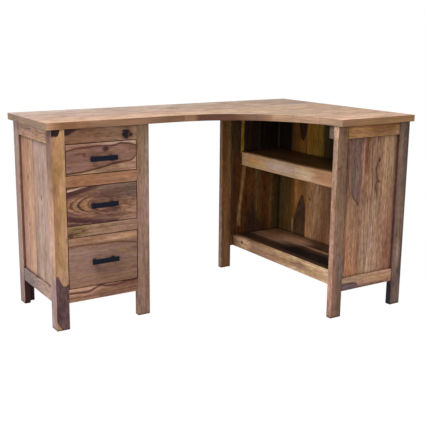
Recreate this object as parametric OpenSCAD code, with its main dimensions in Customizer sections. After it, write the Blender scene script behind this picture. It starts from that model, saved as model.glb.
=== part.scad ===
// Corner desk: an L-shaped top on a drawer pedestal and an open shelf unit.
// X runs along the long side, Y runs back to the wall, Z is up.
// The origin is on the floor, under the middle of the desk's outline.

/* [Overall size] */
// Length of the long side, along the wall
desk_length = 1326; // [1276:10:1376]
// Depth of the short side, from the wall to its free end
desk_depth = 818; // [788:5:848]
// Height of the upper face of the top
desk_height = 760; // [730:5:790]

/* [Top] */
// Thickness of the top boards
top_thickness = 25; // [20:1:30]
// Depth of the long part of the top
long_top_depth = 400; // [380:5:420]
// Width of the short part of the top at its free end
short_top_width = 364; // [346:2:382]
// Radius of the curved inner edge
sweep_radius = 440; // [425:5:460]
// Thickness left where the curve starts, so that no edge is paper thin
sweep_feather = 1; // [0.5:0.5:3]
// How far the top passes the frames at its two free ends
end_overhang = 20; // [14:1:28]
// How far the top passes the frames along its other sides
face_lip = 2; // [1:1:5]
// Boards across the long part of the top
main_top_boards = 4; // [3:1:5]
// Boards across the short part of the top
short_top_boards = 4; // [3:1:5]

/* [Frame timber] */
// Face width of every leg
leg_width = 50; // [44:1:56]
// Thickness of the leg boards
leg_thickness = 24; // [20:1:28]
// Height of the pedestal's rails under the top
top_rail_height = 53; // [46:1:60]
// Height of the shelf unit's rails under the top
unit_top_rail_height = 49; // [43:1:55]
// Height of the rails above the feet
foot_rail_height = 50; // [44:1:56]
// How far a rail sits back from the face of its legs
rail_setback = 2; // [1:1:4]
// Thickness of the panel boards
panel_thickness = 14; // [10:1:16]
// Height of the open space under the bottom rails
foot_height = 100; // [80:5:120]
// Width of the glue line between two boards of one piece
glue_line = 0.2; // [0.1:0.1:0.5]
// Height of the rail under the rear edge of the top
back_rail_height = 40; // [30:1:45]
// Thickness of the rail under the rear edge of the top
back_rail_thickness = 14; // [12:1:20]

/* [Drawer pedestal] */
// Width of the pedestal
pedestal_width = 381; // [366:5:396]
// Height of the dividing rails between the drawers
divider_height = 41; // [35:1:47]
// How far the front rails and drawer fronts sit back from the legs
front_setback = 1; // [0.5:0.5:3]
// Height of the opening for the top drawer
top_opening = 114; // [104:1:124]
// Height of the opening for the middle drawer
middle_opening = 143; // [130:1:150]
// Boards in each side panel of the pedestal
side_panel_boards = 2; // [2:1:4]
// Boards in the back panel of the pedestal
back_panel_boards = 3; // [2:1:4]

/* [Drawers] */
// Gap around each drawer front
front_gap = 2; // [1.5:0.5:3]
// Thickness of the drawer fronts
front_thickness = 18; // [15:1:22]
// Thickness of the drawer sides and backs
box_thickness = 12; // [10:1:15]
// Thickness of the drawer bottoms
bottom_thickness = 6; // [4:1:8]
// Height of the drawer bottom above the lower edge of the sides
bottom_rise = 8; // [6:1:12]
// Space between a drawer side and the edge of the opening
box_inset = 3; // [2.5:0.5:5]
// Space between the rim of a drawer box and the top of its opening
rim_drop = 16; // [10:1:24]
// Running gap between a drawer box and the runners under it
slide_gap = 0.5; // [0.3:0.1:0.8]
// Running gap between a drawer side and its guide
guide_gap = 0.8; // [0.5:0.1:0.9]
// Height of the runners
runner_height = 20; // [16:1:26]
// Height of the guides and stops on the runners
guide_height = 24; // [18:1:30]
// How far a runner reaches under the drawer past its side
runner_reach = 2; // [1:1:6]
// Length of the stop behind each drawer side
stop_length = 18; // [12:1:26]
// Gap between a closed drawer and its stops
stop_gap = 0.5; // [0.3:0.1:0.8]

/* [Pulls] */
// Length of the bar
pull_length = 106; // [96:1:120]
// Height of the bar
pull_height = 18; // [14:1:24]
// Thickness of the bar
pull_thickness = 6; // [4:0.5:8]
// How far the pull stands out from the drawer front
pull_projection = 24; // [20:1:32]
// Width of each foot behind the pull's bar
pull_foot = 12; // [9:1:16]
// How far each foot stands in from the end of the bar
pull_foot_inset = 10; // [5:1:16]
// Radius of the screw heads inside the drawer
screw_head_radius = 4; // [3:0.5:5]
// Height of the screw heads
screw_head_height = 2.5; // [1.5:0.5:4]

/* [Shelf unit] */
// Boards in each end panel
end_panel_boards = 3; // [2:1:4]
// Boards in the back panel
rear_panel_boards = 7; // [5:1:9]
// Thickness of the shelf boards
shelf_thickness = 18; // [14:1:22]
// How far the rail of the lower shelf sits back from the legs
lower_setback = 64; // [52:2:76]
// Height of the rail of the lower shelf
lower_rail_height = 49; // [43:1:55]
// Boards across the lower shelf
lower_shelf_boards = 3; // [2:1:4]
// How far the rail of the upper shelf sits back from the legs
upper_setback = 105; // [93:2:117]
// Height of the upper face of the upper shelf
upper_shelf_height = 532; // [484:4:564]
// Height of the rail of the upper shelf
upper_rail_height = 59; // [50:1:66]
// Boards across the upper shelf
upper_shelf_boards = 2; // [2:1:3]
// Width and height of the cleats that carry the shelves
cleat_size = 18; // [14:1:24]

/* [Hidden] */
// Facets of each full circle
round_facets = 96;
// Extra length of a cutting shape past the faces it cuts
cut_margin = 1;
top_underside = desk_height - top_thickness;
top_rail_low = top_underside - top_rail_height;
unit_rail_low = top_underside - unit_top_rail_height;
foot_rail_top = foot_height + foot_rail_height;

// Pedestal frame
pedestal_left = end_overhang;
pedestal_right = end_overhang + pedestal_width;
pedestal_middle = (pedestal_left + pedestal_right) / 2;
pedestal_front = face_lip - long_top_depth;
pedestal_back = -face_lip;
inner_left = pedestal_left + leg_thickness;
inner_back = pedestal_back - leg_thickness;
opening_left = pedestal_left + leg_width;
opening_right = pedestal_right - leg_width;
front_face = pedestal_front + front_setback;
front_rear = pedestal_front + leg_thickness;
front_leg_rear = pedestal_front + leg_width;
rear_leg_front = pedestal_back - leg_width;

// Drawer openings, as heights above the floor
top_drawer_high = top_rail_low;
top_drawer_low = top_drawer_high - top_opening;
middle_drawer_high = top_drawer_low - divider_height;
middle_drawer_low = middle_drawer_high - middle_opening;
bottom_drawer_high = middle_drawer_low - divider_height;
bottom_drawer_low = foot_rail_top;

// Drawer boxes
box_left = opening_left + box_inset;
box_right = opening_right - box_inset;
front_back_face = front_face + front_thickness;
box_back = inner_back - stop_length - stop_gap;

// Shelf unit frame
unit_left = desk_length - short_top_width + face_lip;
unit_right = desk_length - face_lip;
unit_rail_left = unit_left + leg_width;
unit_rail_right = unit_right - leg_width;
near_outer = end_overhang - desk_depth;
near_inner = near_outer + leg_thickness;
far_outer = -face_lip - back_rail_thickness;
far_inner = far_outer - leg_thickness;
rear_rail_face = unit_right - leg_thickness;
rear_panel_face = rear_rail_face - panel_thickness;
lower_rail_front = unit_left + lower_setback;
lower_shelf_front = lower_rail_front + leg_thickness;
upper_rail_front = unit_left + upper_setback;
upper_shelf_front = upper_rail_front + leg_thickness;
lower_shelf_top = foot_height + lower_rail_height;

// Curved inner edge of the top
sweep_y = -long_top_depth - sweep_radius;
sweep_rise = -desk_depth - sweep_y;
sweep_x = desk_length - short_top_width - sqrt(pow(sweep_radius, 2) - pow(sweep_rise, 2));
sweep_start = sweep_x + sqrt(pow(sweep_radius, 2) - pow(sweep_radius - sweep_feather, 2));

// Moves the corner the sizes are counted from to its place over the origin
module place() {
  translate([-desk_length / 2, desk_depth / 2, 0]) children();
}

// Box between a low corner and a high corner
module block(low, high) {
  translate(low) cube(high - low);
}

// Boards side by side along one axis, filling a box
module board_row(low, high, axis, count) {
  pitch = (high[axis] - low[axis]) / count;
  for (i = [0 : count - 1]) {
    start = low[axis] + i * pitch + (i == 0 ? 0 : glue_line / 2);
    end = low[axis] + (i + 1) * pitch - (i == count - 1 ? 0 : glue_line / 2);
    block(
      [for (k = [0 : 2]) k == axis ? start : low[k]],
      [for (k = [0 : 2]) k == axis ? end : high[k]]
    );
  }
}

// The same shape on the other side of the pedestal
module pedestal_mirror() {
  translate([2 * pedestal_middle, 0, 0]) mirror([1, 0, 0]) children();
}

// Top: boards run the length of the desk
module top_long() {
  color([0.72, 0.55, 0.43]) place()
    board_row([0, -long_top_depth, top_underside], [desk_length, 0, desk_height], 1, main_top_boards);
}

// Top of the short side, with the curved inner edge
module top_short() {
  color([0.72, 0.55, 0.43]) place() difference() {
    board_row(
      [sweep_start, -desk_depth, top_underside],
      [desk_length, -long_top_depth - glue_line, desk_height],
      1, short_top_boards
    );
    translate([sweep_x, sweep_y, top_underside - cut_margin])
      cylinder(h = top_thickness + 2 * cut_margin, r = sweep_radius, $fn = round_facets);
  }
}

// Rail that ties the pedestal to the shelf unit under the rear edge
module back_rail() {
  color([0.58, 0.42, 0.31]) place()
    block(
      [pedestal_right, far_outer, top_underside - back_rail_height],
      [unit_right, -face_lip, top_underside]
    );
}

// Cleat behind the free end of the shelf unit, under the top
module top_cleat() {
  color([0.72, 0.58, 0.46]) place()
    block(
      [unit_left, near_inner, unit_rail_low],
      [rear_panel_face, near_inner + leg_thickness, top_underside]
    );
}

// Front leg of the pedestal: a face board with a side board behind its outer edge
module front_leg() {
  block([pedestal_left, pedestal_front, 0], [pedestal_left + leg_width, front_rear, top_underside]);
  block([pedestal_left, front_rear + glue_line, 0], [inner_left, front_leg_rear, top_underside]);
}

// Rear leg of the pedestal: a side board with a back board beside it
module rear_leg() {
  block([pedestal_left, rear_leg_front, 0], [inner_left, pedestal_back, top_underside]);
  block([inner_left + glue_line, inner_back, 0], [pedestal_left + leg_width, pedestal_back, top_underside]);
}

module pedestal_leg_front_left() {
  color([0.60, 0.46, 0.37]) place() front_leg();
}

module pedestal_leg_front_right() {
  color([0.60, 0.46, 0.37]) place() pedestal_mirror() front_leg();
}

module pedestal_leg_rear_left() {
  color([0.60, 0.46, 0.37]) place() rear_leg();
}

module pedestal_leg_rear_right() {
  color([0.60, 0.46, 0.37]) place() pedestal_mirror() rear_leg();
}

// Top and bottom rails of one side of the pedestal
module side_rails() {
  block(
    [pedestal_left + rail_setback, front_leg_rear, top_rail_low],
    [inner_left, rear_leg_front, top_underside]
  );
  block(
    [pedestal_left + rail_setback, front_leg_rear, foot_height],
    [inner_left, rear_leg_front, foot_rail_top]
  );
}

// Upright boards between the rails of one side of the pedestal
module side_panel() {
  board_row(
    [inner_left - panel_thickness, front_leg_rear, foot_rail_top],
    [inner_left, rear_leg_front, top_rail_low],
    1, side_panel_boards
  );
}

module pedestal_left_rails() {
  color([0.64, 0.48, 0.36]) place() side_rails();
}

module pedestal_right_rails() {
  color([0.64, 0.48, 0.36]) place() pedestal_mirror() side_rails();
}

module pedestal_back_rails() {
  color([0.64, 0.48, 0.36]) place() {
    back_rail_face = pedestal_back - rail_setback;
    block([opening_left, inner_back, top_rail_low], [opening_right, back_rail_face, top_underside]);
    block([opening_left, inner_back, foot_height], [opening_right, back_rail_face, foot_rail_top]);
  }
}

module pedestal_left_panel() {
  color([0.68, 0.50, 0.38]) place() side_panel();
}

module pedestal_right_panel() {
  color([0.68, 0.50, 0.38]) place() pedestal_mirror() side_panel();
}

module pedestal_back_panel() {
  color([0.68, 0.50, 0.38]) place()
    board_row(
      [opening_left, inner_back, foot_rail_top],
      [opening_right, inner_back + panel_thickness, top_rail_low],
      0, back_panel_boards
    );
}

// Front rail of the pedestal between two heights
module front_member(low, high) {
  block([opening_left, front_face, low], [opening_right, front_rear, high]);
}

module pedestal_apron() {
  color([0.66, 0.50, 0.38]) place() front_member(top_rail_low, top_underside);
}

module pedestal_upper_divider() {
  color([0.62, 0.45, 0.33]) place() front_member(middle_drawer_high, top_drawer_low);
}

module pedestal_lower_divider() {
  color([0.62, 0.45, 0.33]) place() front_member(bottom_drawer_high, middle_drawer_low);
}

module pedestal_front_rail() {
  color([0.60, 0.44, 0.32]) place() front_member(foot_height, foot_rail_top);
}

// Runner for one side of a drawer, with the guide beside it and the stop behind it
module runner(opening_low) {
  runner_right = box_left + box_thickness + runner_reach;
  guide_low = opening_low + glue_line;
  guide_high = opening_low + guide_height;
  block([inner_left, front_rear, opening_low - runner_height], [runner_right, inner_back, opening_low]);
  block([inner_left, front_rear, guide_low], [box_left - guide_gap, inner_back, guide_high]);
  block([box_left, inner_back - stop_length, guide_low], [runner_right, inner_back, guide_high]);
}

// Both runners of a drawer
module runner_pair(opening_low) {
  runner(opening_low);
  pedestal_mirror() runner(opening_low);
}

module top_runners() {
  color([0.70, 0.57, 0.44]) place() runner_pair(top_drawer_low);
}

module middle_runners() {
  color([0.70, 0.57, 0.44]) place() runner_pair(middle_drawer_low);
}

module bottom_runners() {
  color([0.70, 0.57, 0.44]) place() runner_pair(bottom_drawer_low);
}

// Drawer front that fills an opening with an even gap
module drawer_front(low, high) {
  block(
    [opening_left + front_gap, front_face, low + front_gap],
    [opening_right - front_gap, front_back_face, high - front_gap]
  );
}

// Left side of a drawer box
module drawer_side(low, high) {
  block([box_left, front_back_face, low + slide_gap], [box_left + box_thickness, box_back, high - rim_drop]);
}

// Back of a drawer box, between its sides
module drawer_back(low, high) {
  block(
    [box_left + box_thickness, box_back - box_thickness, low + slide_gap],
    [box_right - box_thickness, box_back, high - rim_drop]
  );
}

// Bottom of a drawer box, held inside its four walls
module drawer_bottom(low) {
  bottom_low = low + slide_gap + bottom_rise;
  block(
    [box_left + box_thickness, front_back_face, bottom_low],
    [box_right - box_thickness, box_back - box_thickness, bottom_low + bottom_thickness]
  );
}

// Straight flat bar on two feet, which stand in from its ends
module pull(low, high) {
  pull_low = (low + high - pull_height) / 2;
  pull_high = pull_low + pull_height;
  bar_front = front_face - pull_projection;
  bar_back = bar_front + pull_thickness;
  reach = pull_length / 2;
  foot_reach = reach - pull_foot_inset;
  block(
    [pedestal_middle - reach, bar_front, pull_low],
    [pedestal_middle + reach, bar_back, pull_high]
  );
  for (side = [-1, 1]) {
    foot_middle = pedestal_middle + side * (foot_reach - pull_foot / 2);
    block(
      [foot_middle - pull_foot / 2, bar_back - pull_thickness / 2, pull_low],
      [foot_middle + pull_foot / 2, front_face, pull_high]
    );
  }
}

// Heads of the two screws that hold a pull, inside the drawer
module pull_screws(low, high) {
  reach = (pull_length - pull_foot) / 2 - pull_foot_inset;
  for (side = [-1, 1]) {
    translate([pedestal_middle + side * reach, front_back_face, (low + high) / 2])
      rotate([-90, 0, 0])
        cylinder(h = screw_head_height, r = screw_head_radius, $fn = round_facets);
  }
}

module top_drawer_front() {
  color([0.68, 0.48, 0.34]) place() drawer_front(top_drawer_low, top_drawer_high);
}

module top_drawer_left_side() {
  color([0.74, 0.60, 0.46]) place() drawer_side(top_drawer_low, top_drawer_high);
}

module top_drawer_right_side() {
  color([0.74, 0.60, 0.46]) place() pedestal_mirror() drawer_side(top_drawer_low, top_drawer_high);
}

module top_drawer_back() {
  color([0.74, 0.60, 0.46]) place() drawer_back(top_drawer_low, top_drawer_high);
}

module top_drawer_bottom() {
  color([0.76, 0.64, 0.50]) place() drawer_bottom(top_drawer_low);
}

module top_pull() {
  color([0.08, 0.08, 0.10]) place() pull(top_drawer_low, top_drawer_high);
}

module top_pull_screws() {
  color([0.60, 0.60, 0.62]) place() pull_screws(top_drawer_low, top_drawer_high);
}

module middle_drawer_front() {
  color([0.62, 0.42, 0.31]) place() drawer_front(middle_drawer_low, middle_drawer_high);
}

module middle_drawer_left_side() {
  color([0.74, 0.60, 0.46]) place() drawer_side(middle_drawer_low, middle_drawer_high);
}

module middle_drawer_right_side() {
  color([0.74, 0.60, 0.46]) place() pedestal_mirror() drawer_side(middle_drawer_low, middle_drawer_high);
}

module middle_drawer_back() {
  color([0.74, 0.60, 0.46]) place() drawer_back(middle_drawer_low, middle_drawer_high);
}

module middle_drawer_bottom() {
  color([0.76, 0.64, 0.50]) place() drawer_bottom(middle_drawer_low);
}

module middle_pull() {
  color([0.08, 0.08, 0.10]) place() pull(middle_drawer_low, middle_drawer_high);
}

module middle_pull_screws() {
  color([0.60, 0.60, 0.62]) place() pull_screws(middle_drawer_low, middle_drawer_high);
}

module bottom_drawer_front() {
  color([0.66, 0.47, 0.34]) place() drawer_front(bottom_drawer_low, bottom_drawer_high);
}

module bottom_drawer_left_side() {
  color([0.74, 0.60, 0.46]) place() drawer_side(bottom_drawer_low, bottom_drawer_high);
}

module bottom_drawer_right_side() {
  color([0.74, 0.60, 0.46]) place() pedestal_mirror() drawer_side(bottom_drawer_low, bottom_drawer_high);
}

module bottom_drawer_back() {
  color([0.74, 0.60, 0.46]) place() drawer_back(bottom_drawer_low, bottom_drawer_high);
}

module bottom_drawer_bottom() {
  color([0.76, 0.64, 0.50]) place() drawer_bottom(bottom_drawer_low);
}

module bottom_pull() {
  color([0.08, 0.08, 0.10]) place() pull(bottom_drawer_low, bottom_drawer_high);
}

module bottom_pull_screws() {
  color([0.60, 0.60, 0.62]) place() pull_screws(bottom_drawer_low, bottom_drawer_high);
}

// Leg of the shelf unit: a flat board on end
module unit_leg(left, front) {
  block([left, front, 0], [left + leg_width, front + leg_thickness, top_underside]);
}

module unit_leg_near_left() {
  color([0.56, 0.44, 0.36]) place() unit_leg(unit_left, near_outer);
}

module unit_leg_near_right() {
  color([0.56, 0.44, 0.36]) place() unit_leg(unit_rail_right, near_outer);
}

module unit_leg_far_left() {
  color([0.56, 0.44, 0.36]) place() unit_leg(unit_left, far_inner);
}

module unit_leg_far_right() {
  color([0.56, 0.44, 0.36]) place() unit_leg(unit_rail_right, far_inner);
}

// Top and bottom rails of one end of the shelf unit
module end_rails(front, back) {
  block([unit_rail_left, front, unit_rail_low], [unit_rail_right, back, top_underside]);
  block([unit_rail_left, front, foot_height], [unit_rail_right, back, foot_rail_top]);
}

module unit_near_rails() {
  color([0.70, 0.53, 0.38]) place() end_rails(near_outer + rail_setback, near_inner);
}

module unit_far_rails() {
  color([0.62, 0.47, 0.36]) place() end_rails(far_inner, far_outer - rail_setback);
}

module unit_rear_rails() {
  color([0.62, 0.47, 0.36]) place() {
    rear_rail_outer = unit_right - rail_setback;
    block([rear_rail_face, near_inner, unit_rail_low], [rear_rail_outer, far_inner, top_underside]);
    block([rear_rail_face, near_inner, foot_height], [rear_rail_outer, far_inner, foot_rail_top]);
  }
}

// Upright boards between the rails of one end of the shelf unit
module end_panel(front) {
  board_row(
    [unit_rail_left, front, foot_rail_top],
    [unit_rail_right, front + panel_thickness, unit_rail_low],
    0, end_panel_boards
  );
}

module unit_near_panel() {
  color([0.60, 0.45, 0.34]) place() end_panel(near_inner - panel_thickness);
}

module unit_far_panel() {
  color([0.50, 0.37, 0.27]) place() end_panel(far_inner);
}

module unit_rear_panel() {
  color([0.55, 0.40, 0.26]) place()
    board_row(
      [rear_panel_face, near_inner, foot_height],
      [rear_rail_face, far_inner, top_underside],
      1, rear_panel_boards
    );
}

module lower_shelf_rail() {
  color([0.70, 0.53, 0.38]) place()
    block([lower_rail_front, near_inner, foot_height], [lower_shelf_front, far_inner, lower_shelf_top]);
}

module upper_shelf_rail() {
  color([0.74, 0.57, 0.42]) place()
    block(
      [upper_rail_front, near_inner, upper_shelf_height - upper_rail_height],
      [upper_shelf_front, far_inner, upper_shelf_height]
    );
}

// Shelf boards behind a shelf rail, up to the back panel
module shelf_boards(front, top, count) {
  board_row(
    [front, near_inner, top - shelf_thickness],
    [rear_panel_face, far_inner, top],
    0, count
  );
}

module lower_shelf() {
  color([0.56, 0.40, 0.30]) place() shelf_boards(lower_shelf_front, lower_shelf_top, lower_shelf_boards);
}

module upper_shelf() {
  color([0.56, 0.40, 0.30]) place() shelf_boards(upper_shelf_front, upper_shelf_height, upper_shelf_boards);
}

// Cleats under both ends of a shelf
module cleat_pair(front, top) {
  cleat_top = top - shelf_thickness;
  cleat_low = cleat_top - cleat_size;
  block([front, near_inner, cleat_low], [rear_panel_face, near_inner + cleat_size, cleat_top]);
  block([front, far_inner - cleat_size, cleat_low], [rear_panel_face, far_inner, cleat_top]);
}

module lower_cleats() {
  color([0.70, 0.57, 0.44]) place() cleat_pair(lower_shelf_front, lower_shelf_top);
}

module upper_cleats() {
  color([0.70, 0.57, 0.44]) place() cleat_pair(upper_shelf_front, upper_shelf_height);
}

top_long();
top_short();
back_rail();
top_cleat();
pedestal_leg_front_left();
pedestal_leg_front_right();
pedestal_leg_rear_left();
pedestal_leg_rear_right();
pedestal_left_rails();
pedestal_right_rails();
pedestal_back_rails();
pedestal_left_panel();
pedestal_right_panel();
pedestal_back_panel();
pedestal_apron();
pedestal_upper_divider();
pedestal_lower_divider();
pedestal_front_rail();
top_runners();
middle_runners();
bottom_runners();
top_drawer_front();
top_drawer_left_side();
top_drawer_right_side();
top_drawer_back();
top_drawer_bottom();
top_pull();
top_pull_screws();
middle_drawer_front();
middle_drawer_left_side();
middle_drawer_right_side();
middle_drawer_back();
middle_drawer_bottom();
middle_pull();
middle_pull_screws();
bottom_drawer_front();
bottom_drawer_left_side();
bottom_drawer_right_side();
bottom_drawer_back();
bottom_drawer_bottom();
bottom_pull();
bottom_pull_screws();
unit_leg_near_left();
unit_leg_near_right();
unit_leg_far_left();
unit_leg_far_right();
unit_near_rails();
unit_far_rails();
unit_rear_rails();
unit_near_panel();
unit_far_panel();
unit_rear_panel();
lower_shelf_rail();
upper_shelf_rail();
lower_shelf();
upper_shelf();
lower_cleats();
upper_cleats();
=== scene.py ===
"""Looks of a solid sheesham corner desk: its boards, frames, drawers, shelves and iron pulls.

The wood tables give a board's figure in millimetres from that board's low corner. Meshes are in metres.
"""

import logging
from dataclasses import dataclass
from enum import Enum

import bpy
import numpy as np
from mathutils import Matrix, Vector


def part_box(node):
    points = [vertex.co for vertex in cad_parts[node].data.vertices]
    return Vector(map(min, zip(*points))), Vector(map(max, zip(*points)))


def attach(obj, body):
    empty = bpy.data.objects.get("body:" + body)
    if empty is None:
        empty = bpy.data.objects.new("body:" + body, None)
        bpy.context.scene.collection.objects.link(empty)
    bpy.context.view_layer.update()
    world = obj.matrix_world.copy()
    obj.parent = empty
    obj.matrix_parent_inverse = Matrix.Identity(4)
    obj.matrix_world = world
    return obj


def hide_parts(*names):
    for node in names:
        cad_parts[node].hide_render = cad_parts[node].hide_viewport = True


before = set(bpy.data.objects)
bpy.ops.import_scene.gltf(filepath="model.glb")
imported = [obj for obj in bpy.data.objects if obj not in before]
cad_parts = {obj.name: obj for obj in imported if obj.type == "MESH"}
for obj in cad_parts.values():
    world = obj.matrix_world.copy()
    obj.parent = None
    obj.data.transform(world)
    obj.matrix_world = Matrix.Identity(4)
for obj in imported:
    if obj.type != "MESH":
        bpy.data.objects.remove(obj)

LOG = logging.getLogger("desk")
MM = 0.001

Socket = bpy.types.NodeSocket
Value = float | tuple | Socket
Point = tuple[float, float, float]
# heights in millimetres, and sRGB colours, by their position in millimetres
Line = dict[float, float]
Tones = dict[float, str]


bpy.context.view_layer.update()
WHITE = (1.0, 1.0, 1.0, 1.0)
# what heartwood does to the colour of the sapwood beside it
HEARTWOOD = (0.60, 0.50, 0.46, 1.0)
# the two casts that sheesham drifts between
OLIVE = (1.0, 1.01, 0.91, 1.0)
ROSE = (1.01, 0.97, 1.11, 1.0)
BLACK_LINE = "3c241c"
# painted shade laid along the outline of a drawer front, for the shadow in the gap round it
GAP_SHADE = "2a1812"
# how far apart the boards of a piece, and two pieces, read the same random field, in millimetres
BOARD_STEP = 317.0
SEED_STEP = 53.0
# how close to its edge a board's outermost tone is read, in millimetres
SEAM = 0.3
# the least share of its colour that the grain leaves
DARKEST = 0.12
VARNISH_IOR = 1.5
# corners of a CAD mesh that lie closer than this are one corner, in millimetres
WELD_GAP = 0.03
# edges that turn by more than this are eased, and a new mesh's edges stay sharp above the second, in radians
EASED_ANGLE = 0.6
SHARP_ANGLE = 0.7


def linear(code: str) -> tuple[float, float, float, float]:
    """Turns an sRGB colour into linear light.

    Args:
        code: six hex digits, red, green and blue.

    Returns:
        Red, green, blue and an alpha of one.
    """
    level = np.array([int(code[i : i + 2], 16) for i in (0, 2, 4)]) / 255
    light = np.where(level <= 0.04045, level / 12.92, ((level + 0.055) / 1.055) ** 2.4)
    return (float(light[0]), float(light[1]), float(light[2]), 1.0)


class Field(Enum):
    """A random field: its cell along, across and through a board in millimetres, how many finer layers are
    laid over it, and how strong they are.
    """

    # the lines of a board wander by about a centimetre over half a metre
    BEND = ((420.0, 70.0, 90.0), 1.0, 0.5)
    # one end's tones turn into the other's in tongues as wide as two fingers
    TURN = ((120.0, 18.0, 40.0), 2.0, 0.5)
    # outlines are ragged along the grain, and mottled inside
    RAGGED = ((40.0, 7.0, 20.0), 3.0, 0.6)
    MOTTLE = ((26.0, 9.0, 20.0), 3.0, 0.6)
    # heartwood lies in flames as long as an arm and two fingers wide
    FLAME = ((420.0, 38.0, 60.0), 2.0, 0.45)
    # growth lines about 9 mm and 3 mm apart, with flecks between them
    BROAD = ((210.0, 9.0, 24.0), 2.0, 0.5)
    FINE = ((60.0, 2.8, 9.0), 3.0, 0.6)
    FLECK = ((25.0, 6.5, 14.0), 3.0, 0.65)
    # soft clouds as wide as a hand
    CLOUD = ((80.0, 34.0, 40.0), 3.0, 0.6)
    # vessels are 0.2 mm wide; drawn at 0.9 mm by 16 mm so that they show
    PORES = ((16.0, 0.9, 3.0), 1.0, 0.5)
    # the hue drifts within a hand's breadth
    DRIFT = ((70.0, 16.0, 30.0), 2.0, 0.5)
    # nearly black lines run a third of a metre
    RIDGE = ((340.0, 15.0, 40.0), 2.0, 0.4)
    # rings about 2.5 mm apart on end grain
    RINGS = ((400.0, 2.5, 2.5), 2.0, 0.5)
    # streaks along a sawn curve
    STREAK = ((150.0, 60.0, 6.0), 3.0, 0.6)
    # places as long as a thumb where an edge is rubbed lighter, as wear and as a painted highlight
    RUB_AND_HIGHLIGHT = ((30.0, 12.0, 12.0), 2.0, 0.5)
    # hammer marks about 6 mm across in iron; brush marks are finer, drawn at 1.2 mm so that they show
    HAMMER = ((6.0, 6.0, 6.0), 2.0, 0.5)
    BRUSH = ((1.2, 1.2, 1.2), 2.0, 0.5)
    # crystals of zinc about 1.5 mm across
    CRYSTAL = ((1.5, 1.5, 1.5), 1.0, 0.5)


@dataclass
class Graph:
    """A node tree while it is being written."""

    tree: bpy.types.NodeTree

    @classmethod
    def of(cls, owner: bpy.types.Material | bpy.types.World) -> "Graph":
        """Empties the node tree of a material or a world.

        Args:
            owner: what the tree belongs to.

        Returns:
            The graph that writes it.
        """
        owner.use_nodes = True
        owner.node_tree.nodes.clear()
        return cls(owner.node_tree)

    def add(
        self,
        kind: str,
        *values: Value | None,
        output: int | str = 0,
        sockets: dict | None = None,
        **settings: object,
    ) -> Socket | None:
        """Adds a node with its settings and links.

        Args:
            kind: the shader node's name, with its operation or blend after a full stop.
            values: numbers or sockets for the node's inputs in order; None leaves one alone.
            output: the output to give back.
            sockets: more inputs by name.
            settings: the node's own properties.

        Returns:
            The node's output socket, if it has one.
        """
        name, _, mode = kind.partition(".")
        node = self.tree.nodes.new("ShaderNode" + name)
        if mode:
            settings["operation" if hasattr(node, "operation") else "blend_type"] = mode
        for key, setting in settings.items():
            setattr(node, key, setting)
        for key, value in [*enumerate(values), *(sockets or {}).items()]:
            if value is None:
                continue
            if isinstance(value, Socket):
                self.tree.links.new(value, node.inputs[key])
            else:
                node.inputs[key].default_value = value
        return node.outputs[output] if node.outputs else None

    def place(self, low: Point = (0.0, 0.0, 0.0)) -> Socket:
        """Finds the shaded point from a piece's corner.

        Args:
            low: the corner, in metres.

        Returns:
            The point in millimetres.
        """
        point = self.add("TexCoord", output="Object")
        point = self.add("VectorMath.SUBTRACT", point, tuple(low))
        return self.add("VectorMath.SCALE", point, sockets={"Scale": 1 / MM})

    def tones(self, place: Value, tones: Tones, reach: float) -> Socket:
        """Reads a run of colours: each holds at its own position and they blend in between.

        Args:
            place: the position in millimetres.
            tones: the colours in order.
            reach: the position that the last colour may have at most.

        Returns:
            The colour at the place.
        """
        share = self.add("Math.DIVIDE", place, reach)
        colour = self.add("ValToRGB", share)
        ramp = colour.node.color_ramp
        while len(ramp.elements) < len(tones):
            ramp.elements.new(0.5)
        for element, (at, code) in zip(ramp.elements, tones.items()):
            element.position = min(max(at / reach, 0.0), 1.0)
            element.color = linear(code)
        return colour

    def outline(self, place: Value, line: Line, length: float, width: float) -> Socket:
        """Reads a smooth line that runs over a board, such as the edge of its heartwood.

        Args:
            place: the position along the line in millimetres.
            line: the line's heights.
            length: the most that a position may be.
            width: the most that a height may be.

        Returns:
            The line's height in millimetres at the place.
        """
        share = self.add("Math.DIVIDE", place, length)
        curve = self.add("FloatCurve", 1.0, share)
        mapping = curve.node.mapping
        mapping.extend = "HORIZONTAL"
        points = mapping.curves[0].points
        for _ in range(len(line) - 2):
            points.new(0.5, 0.5)
        for point, (at, height) in zip(points, line.items()):
            point.location = (at / length, height / width)
        mapping.update()
        return self.add("Math.MULTIPLY", curve, width)

    def noise(self, place: Socket, field: Field) -> Socket:
        """Reads a soft random field.

        Args:
            place: the position in millimetres: along, across and deep.
            field: the field to read.

        Returns:
            Its value from 0 to 1, about 0.5 on average.
        """
        cell, detail, rough = field.value
        scaled = self.add("VectorMath.DIVIDE", place, cell)
        return self.add("TexNoise", scaled, None, 1.0, detail, rough)

    def between(self, value: Value, low: float, high: float, most: float = 1.0) -> Socket:
        """Rises smoothly from 0 at low to the most at high."""
        return self.add("MapRange", value, low, high, 0.0, most, interpolation_type="SMOOTHSTEP")


class Side(Enum):
    """The side of its outline on which a patch lies: the axis it is measured on, and the sign."""

    ABOVE = ("across", 1)
    BELOW = ("across", -1)
    BEYOND = ("along", 1)
    SHORT_OF = ("along", -1)


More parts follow.
